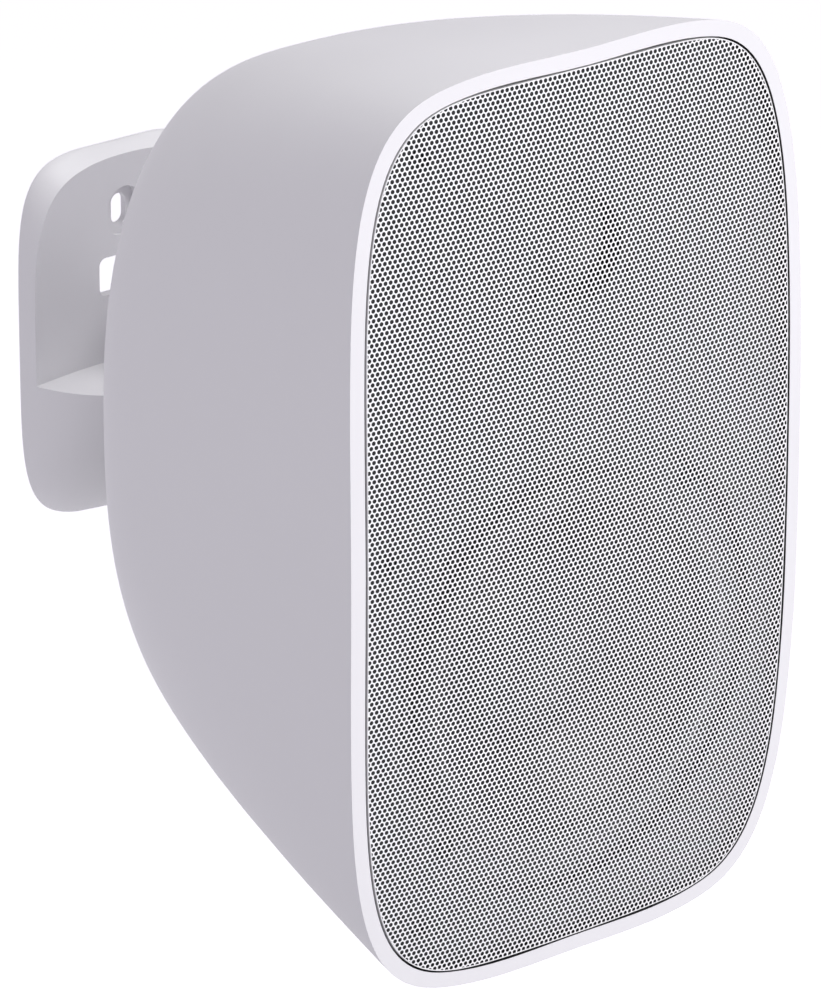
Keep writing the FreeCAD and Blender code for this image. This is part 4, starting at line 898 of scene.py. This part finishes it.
def cross_screw(sizes, x, z, seat_y, tip_y, rear):
    """Pan-head screw on an axis along Y. The head is a surface of radius and angle: a shallow ellipse, less
    the cross, which is deep where a point lies within half a slot's width of either of two lines. The wall
    and the shank follow as rings of the same angles, down to the tip."""
    angle = np.linspace(0.0, 2 * np.pi, SCREW_STEPS, endpoint=False)[:, None]
    share = np.linspace(0.0, 1.0, HEAD_STEPS)[None, :]
    radius = sizes.head_radius * share + 0.0 * angle
    across = radius * np.cos(angle)
    up = radius * np.sin(angle)
    ellipse = np.sqrt(np.maximum(1.0 - share ** 2, 0.0))
    dome = sizes.head_height * (HEAD_RIM + (1.0 - HEAD_RIM) * ellipse) + 0.0 * angle
    arm = np.minimum(np.abs(across), np.abs(up)) - sizes.cross_width / 2
    in_slot = np.clip(0.5 - arm / SLOT_EDGE, 0.0, 1.0)
    in_reach = np.clip(0.5 - (radius - sizes.cross_reach) / SLOT_EDGE, 0.0, 1.0)
    slope = 1.0 - SLOT_RISE * radius / sizes.cross_reach
    height = dome - sizes.cross_depth * (in_slot * in_reach) * slope
    length = abs(tip_y - seat_y)
    ends = np.array([
        (sizes.head_radius, 0.0),
        (sizes.shank_radius, 0.0),
        (sizes.shank_radius, -length + sizes.shank_radius),
        (0.0, -length),
    ])
    rings_r = np.concatenate([radius, ends[:, 0] + 0.0 * angle], axis=1)
    rings_h = np.concatenate([height, ends[:, 1] + 0.0 * angle], axis=1)
    turn = 1.0 if rear else -1.0
    px = x + rings_r * np.cos(angle)
    py = seat_y + turn * rings_h
    pz = z - turn * rings_r * np.sin(angle)
    points = np.stack([px, py, pz], axis=2).reshape(-1, 3)
    return points, grid_quads(SCREW_STEPS, rings_r.shape[1], True, False)


def raised_bar(start, end, width, base_y, height):
    """A printed bar on a face that looks along +Y: an oblong from start to end in (x, z), lifted off it."""
    along = (end - start) / np.linalg.norm(end - start)
    side = np.array([-along[1], along[0]]) * width / 2
    corners = np.array([start - side, end - side, end + side, start + side])
    points = np.concatenate([np.insert(corners, 1, y, axis=1) for y in (base_y, base_y + height)])
    quads = np.array([[0, 1, 2, 3], [7, 6, 5, 4], [1, 0, 4, 5], [2, 1, 5, 6], [3, 2, 6, 7], [0, 3, 7, 4]])
    return points, quads


def aim(place, target):
    """Euler angles that turn a light from straight down to the direction from its place to the target."""
    x, y, z = np.subtract(target, place)
    return math.pi / 2 + math.atan2(z, math.hypot(x, y)), 0.0, math.atan2(-x, y)


class SPEAKER_OT_finishes(bpy.types.Operator):
    """Give every carried-over solid its finish"""

    bl_idname = "speaker.finishes"
    bl_label = "Finishes"

    def execute(self, context):
        colours = context.scene.speaker_colours
        shell = tuple(colours.shell)
        sheet = tuple(colours.sheet)
        baffle = tuple(colours.baffle)
        finishes = {
            moulded_finish("white_shell", shell, 0.46): ["wall_bracket", "swivel_arm", "mount_yoke"],
            # The cabinet's pocket walls round the grille are painted in the baffle's black as shade in the
            # gap.
            moulded_finish("cabinet_shell", shell, 0.46, mask=painted_pocket_shade, dark=baffle): ["cabinet"],
            moulded_finish("black_baffle", baffle, 0.5): ["baffle"],
            moulded_finish("black_plastic", (0.016, 0.016, 0.017), 0.42): [
                "mains_inlet", "power_switch_body", "power_rocker", "output_socket", "volume_knob"],
            moulded_finish("panel_paint", (0.020, 0.020, 0.021), 0.5, grain=0.5 * MM, depth=0.02 * MM): [
                "connector_panel"],
            # The inside of the grille's folded edge is painted in the baffle's black as shade seen through
            # the holes.
            enamel_finish("grille_coat", sheet, 0.45, mask=painted_skirt_shade, dark=baffle): ["grille"],
            enamel_finish("black_steel", (0.014, 0.014, 0.015), 0.42): ["woofer_frame", "tweeter_plate"],
            plated_finish("zinc_plate", (0.56, 0.57, 0.58), 0.34): [
                "pivot_bolt", "pivot_washers", "pivot_nut", "tilt_bolt", "tilt_washers", "tilt_nut",
                "woofer_top_plate", "woofer_back_plate", "transformer_washer", "transformer_bolt",
                "board_pillars", "volume_shaft", "volume_potentiometer"],
            plated_finish("black_zinc", (0.05, 0.05, 0.052), 0.4): [
                "baffle_screws", "woofer_screws", "tweeter_screws", "panel_screws", "yoke_screws"],
            plated_finish("nickel_pins", (0.66, 0.63, 0.56), 0.25): ["inlet_pins"],
            plated_finish("drawn_aluminium", (0.72, 0.73, 0.74), 0.35, (1.0, 1.0, 0.05)): ["heat_sink"],
            cone_finish("woofer_pp"): ["woofer_cone"],
            dust_cap_finish("cap_lacquer"): ["woofer_dust_cap"],
            rubber_finish("roll_rubber", tuple(colours.rubber)): ["woofer_surround"],
            woven_finish("spider_cloth", (0.16, 0.09, 0.03), (0.42, 0.28, 0.12), 0.4 * MM): ["woofer_spider"],
            woven_finish("dome_silk", (0.012, 0.012, 0.013), (0.05, 0.05, 0.052), 0.22 * MM): [
                "tweeter_dome"],
            winding_finish("copper_wire", 0.5 * MM): ["woofer_voice_coil", "crossover_coil"],
            ferrite_finish("ferrite"): ["woofer_magnet", "tweeter_magnet"],
            foam_finish("foam_strip"): ["baffle_gasket", "woofer_gasket", "panel_gasket"],
            board_finish("circuit_board"): ["crossover_board", "amplifier_board"],
            can_finish("film_sleeve", (0.30, 0.06, 0.02)): ["crossover_capacitor"],
            can_finish("can_sleeve", (0.012, 0.016, 0.03)): ["board_capacitors"],
            jack_finish("phono_jacks"): ["input_jacks"],
            tape_finish("toroid_tape", TOROID_Z): ["power_transformer"],
        }
        for material, nodes in finishes.items():
            for name in nodes:
                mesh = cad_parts[name].data
                mesh.materials.clear()
                mesh.materials.append(material)
        bare = sorted(set(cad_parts) - {name for nodes in finishes.values() for name in nodes})
        if bare:
            raise RuntimeError(f"no finish for {bare}")
        return {"FINISHED"}


class SPEAKER_OT_grille(bpy.types.Operator):
    """Make the perforated front sheet with its folded edge"""

    bl_idname = "speaker.grille"
    bl_label = "Grille"

    def execute(self, context):
        sizes = context.scene.speaker_grille
        half_x = GRILLE_CORNER.x - sizes.edge_inset
        half_z = GRILLE_CORNER.z - sizes.edge_inset
        bend = sizes.edge_radius
        sheet = perforated_sheet(sizes, half_x - bend, half_z - bend)
        skirt = grille_skirt(sizes, half_x, half_z)
        coat = bpy.data.materials["grille_coat"]
        piece = add_piece("perforated_grille", *joined(sheet, skirt), coat, SMOOTH_ANGLE)
        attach(piece, "speaker")
        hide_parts("grille")
        return {"FINISHED"}


class SPEAKER_OT_woofer_rolls(bpy.types.Operator):
    """Make the woofer's rubber roll and its corrugated spider"""

    bl_idname = "speaker.woofer_rolls"
    bl_label = "Woofer rolls"

    def execute(self, context):
        sizes = context.scene.speaker_rolls
        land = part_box("woofer_cone")[0].y - FRONT_Y
        ring = turned_ring(*roll_profile(sizes, land), WOOFER_Z)
        roll = add_piece("woofer_roll", *ring, bpy.data.materials["roll_rubber"], SMOOTH_ANGLE)
        weld_and_face_out(roll)
        bend_with_cone(roll)
        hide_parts("woofer_surround")
        low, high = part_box("woofer_spider")
        base = (low.y + high.y) / 2 - FRONT_Y - sizes.spider_wall / 2
        ring = turned_ring(*spider_profile(sizes, high.x, base), WOOFER_Z)
        spider = add_piece("woofer_spider_cloth", *ring, bpy.data.materials["spider_cloth"], SMOOTH_ANGLE)
        weld_and_face_out(spider)
        bend_with_cone(spider)
        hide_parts("woofer_spider")
        return {"FINISHED"}


class SPEAKER_OT_screws(bpy.types.Operator):
    """Make the cross-recessed screws of the baffle, the woofer, the rear panel and the yoke"""

    bl_idname = "speaker.screws"
    bl_label = "Screws"

    def execute(self, context):
        sizes = context.scene.speaker_screws
        corners = [(side, end) for side in (-1, 1) for end in (-1, 1)]
        head = sizes.head_height
        screws = {}
        low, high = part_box("baffle_screws")
        places = [(BAFFLE_SCREW_X * side, BAFFLE_SCREW_Z * end) for side, end in corners]
        places += [(-BAFFLE_SIDE_SCREW_X, 0.0), (BAFFLE_SIDE_SCREW_X, 0.0)]
        dome = [float(dome_y(x, z)) for x, z in places]
        foremost = min(dome)
        screws["baffle"] = [cross_screw(sizes, x, z, low.y + head + y - foremost, high.y, False)
                            for (x, z), y in zip(places, dome)]
        low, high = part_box("woofer_screws")
        out = WOOFER_SCREW_RADIUS * math.sqrt(0.5)
        screws["woofer"] = [cross_screw(sizes, out * side, WOOFER_Z + out * end, low.y + head, high.y, False)
                            for side, end in corners]
        for name in ("panel", "yoke"):
            low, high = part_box(f"{name}_screws")
            x = high.x - sizes.head_radius
            z = (high.z - low.z) / 2 - sizes.head_radius
            middle = (high.z + low.z) / 2
            screws[name] = [cross_screw(sizes, x * side, middle + z * end, high.y - head, low.y, True)
                            for side, end in corners]
        steel = bpy.data.materials["black_zinc"]
        for name, meshes in screws.items():
            piece = add_piece(f"{name}_cross_screws", *joined(*meshes), steel, HEAD_SMOOTH_ANGLE)
            weld_and_face_out(piece)
            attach(piece, "speaker")
            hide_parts(f"{name}_screws")
        return {"FINISHED"}


class SPEAKER_OT_dial_marks(bpy.types.Operator):
    """Print the scale round the volume knob and the pointer on the knob"""

    bl_idname = "speaker.dial_marks"
    bl_label = "Dial marks"

    def execute(self, context):
        sizes = context.scene.speaker_dial
        ink = print_finish("white_print", tuple(context.scene.speaker_colours.print_white))
        low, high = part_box("volume_knob")
        middle = np.array([(low.x + high.x) / 2, (low.z + high.z) / 2])
        bars = []
        for angle in np.linspace(-sizes.sweep / 2, sizes.sweep / 2, sizes.tick_count):
            out = np.array([-math.sin(angle), math.cos(angle)])
            start = middle + out * sizes.inner_radius
            end = middle + out * sizes.outer_radius
            bars.append(raised_bar(start, end, sizes.tick_width, PANEL_Y - PRINT_SINK, sizes.print_height))
        scale = add_piece("volume_scale", *joined(*bars), ink)
        weld_and_face_out(scale)
        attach(scale, "speaker")
        up = np.array([0.0, 1.0])
        start = middle + up * sizes.pointer_start
        end = middle + up * sizes.pointer_end
        bar = raised_bar(start, end, sizes.pointer_width, high.y - PRINT_SINK, sizes.pointer_height)
        pointer = add_piece("knob_pointer", *bar, ink)
        weld_and_face_out(pointer)
        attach(pointer, "knob")
        return {"FINISHED"}


class SPEAKER_OT_stage(bpy.types.Operator):
    """Set the floor, the lights and the camera"""

    bl_idname = "speaker.stage"
    bl_label = "Stage"

    def execute(self, context):
        sizes = context.scene.speaker_stage
        scene = context.scene
        scene.view_settings.view_transform = "Standard"
        reach = np.linspace(-FLOOR_REACH, FLOOR_REACH, FLOOR_POINTS)
        x, y = np.meshgrid(reach, reach)
        points = np.stack([x.ravel(), y.ravel(), np.full(x.size, -sizes.floor_drop)], axis=1)
        quads = grid_quads(FLOOR_POINTS, FLOOR_POINTS)
        floor = add_piece("floor", points, quads, floor_finish("pale_floor", sizes))
        world = bpy.data.worlds.new("studio")
        world.use_nodes = True
        background = world.node_tree.nodes["Background"]
        background.inputs["Color"].default_value = (*sizes.sky, 1.0)
        background.inputs["Strength"].default_value = 1.0
        scene.world = world
        for name, place, width, power in LIGHTS:
            data = bpy.data.lights.new(name, "AREA")
            data.shape = "DISK"
            data.size = width
            data.energy = getattr(sizes, power)
            lamp = bpy.data.objects.new(name, data)
            scene.collection.objects.link(lamp)
            lamp.location = place
            lamp.rotation_euler = aim(place, LIGHT_TARGET)
        data = bpy.data.cameras.new("photo_camera")
        data.lens = sizes.lens
        data.sensor_width = 36.0
        data.clip_end = 100.0
        camera = bpy.data.objects.new("photo_camera", data)
        scene.collection.objects.link(camera)
        camera.location = sizes.camera_place
        camera.rotation_euler = (math.pi / 2 - sizes.camera_dip, 0.0, -sizes.camera_turn)
        scene.camera = camera
        return {"FINISHED"}


class SPEAKER_PT_looks(bpy.types.Panel):
    """Sidebar list of the speaker's pieces"""

    bl_idname = "SPEAKER_PT_looks"
    bl_label = "Wall speaker"
    bl_space_type = "VIEW_3D"
    bl_region_type = "UI"
    bl_category = "Speaker"

    def draw(self, context):
        for operator in OPERATORS:
            self.layout.operator(operator.bl_idname)
        for group in SETTINGS:
            settings = getattr(context.scene, group)
            box = self.layout.box()
            for name in settings.__annotations__:
                box.prop(settings, name)


OPERATORS = (SPEAKER_OT_finishes, SPEAKER_OT_grille, SPEAKER_OT_woofer_rolls, SPEAKER_OT_screws,
             SPEAKER_OT_dial_marks, SPEAKER_OT_stage)
SETTINGS = {
    "speaker_grille": GrilleSizes,
    "speaker_rolls": RollSizes,
    "speaker_screws": ScrewSizes,
    "speaker_dial": DialSizes,
    "speaker_colours": SpeakerColours,
    "speaker_stage": StageSizes,
}


def register():
    for kind in (*SETTINGS.values(), *OPERATORS, SPEAKER_PT_looks):
        bpy.utils.register_class(kind)
    for name, kind in SETTINGS.items():
        setattr(bpy.types.Scene, name, PointerProperty(type=kind))


def unregister():
    for name in SETTINGS:
        delattr(bpy.types.Scene, name)
    for kind in reversed((*SETTINGS.values(), *OPERATORS, SPEAKER_PT_looks)):
        bpy.utils.unregister_class(kind)


def main():
    """Makes every piece in order."""
    register()
    bpy.ops.speaker.finishes()
    bpy.ops.speaker.grille()
    bpy.ops.speaker.woofer_rolls()
    bpy.ops.speaker.screws()
    bpy.ops.speaker.dial_marks()
    bpy.ops.speaker.stage()


if __name__ == "__main__":
    main()
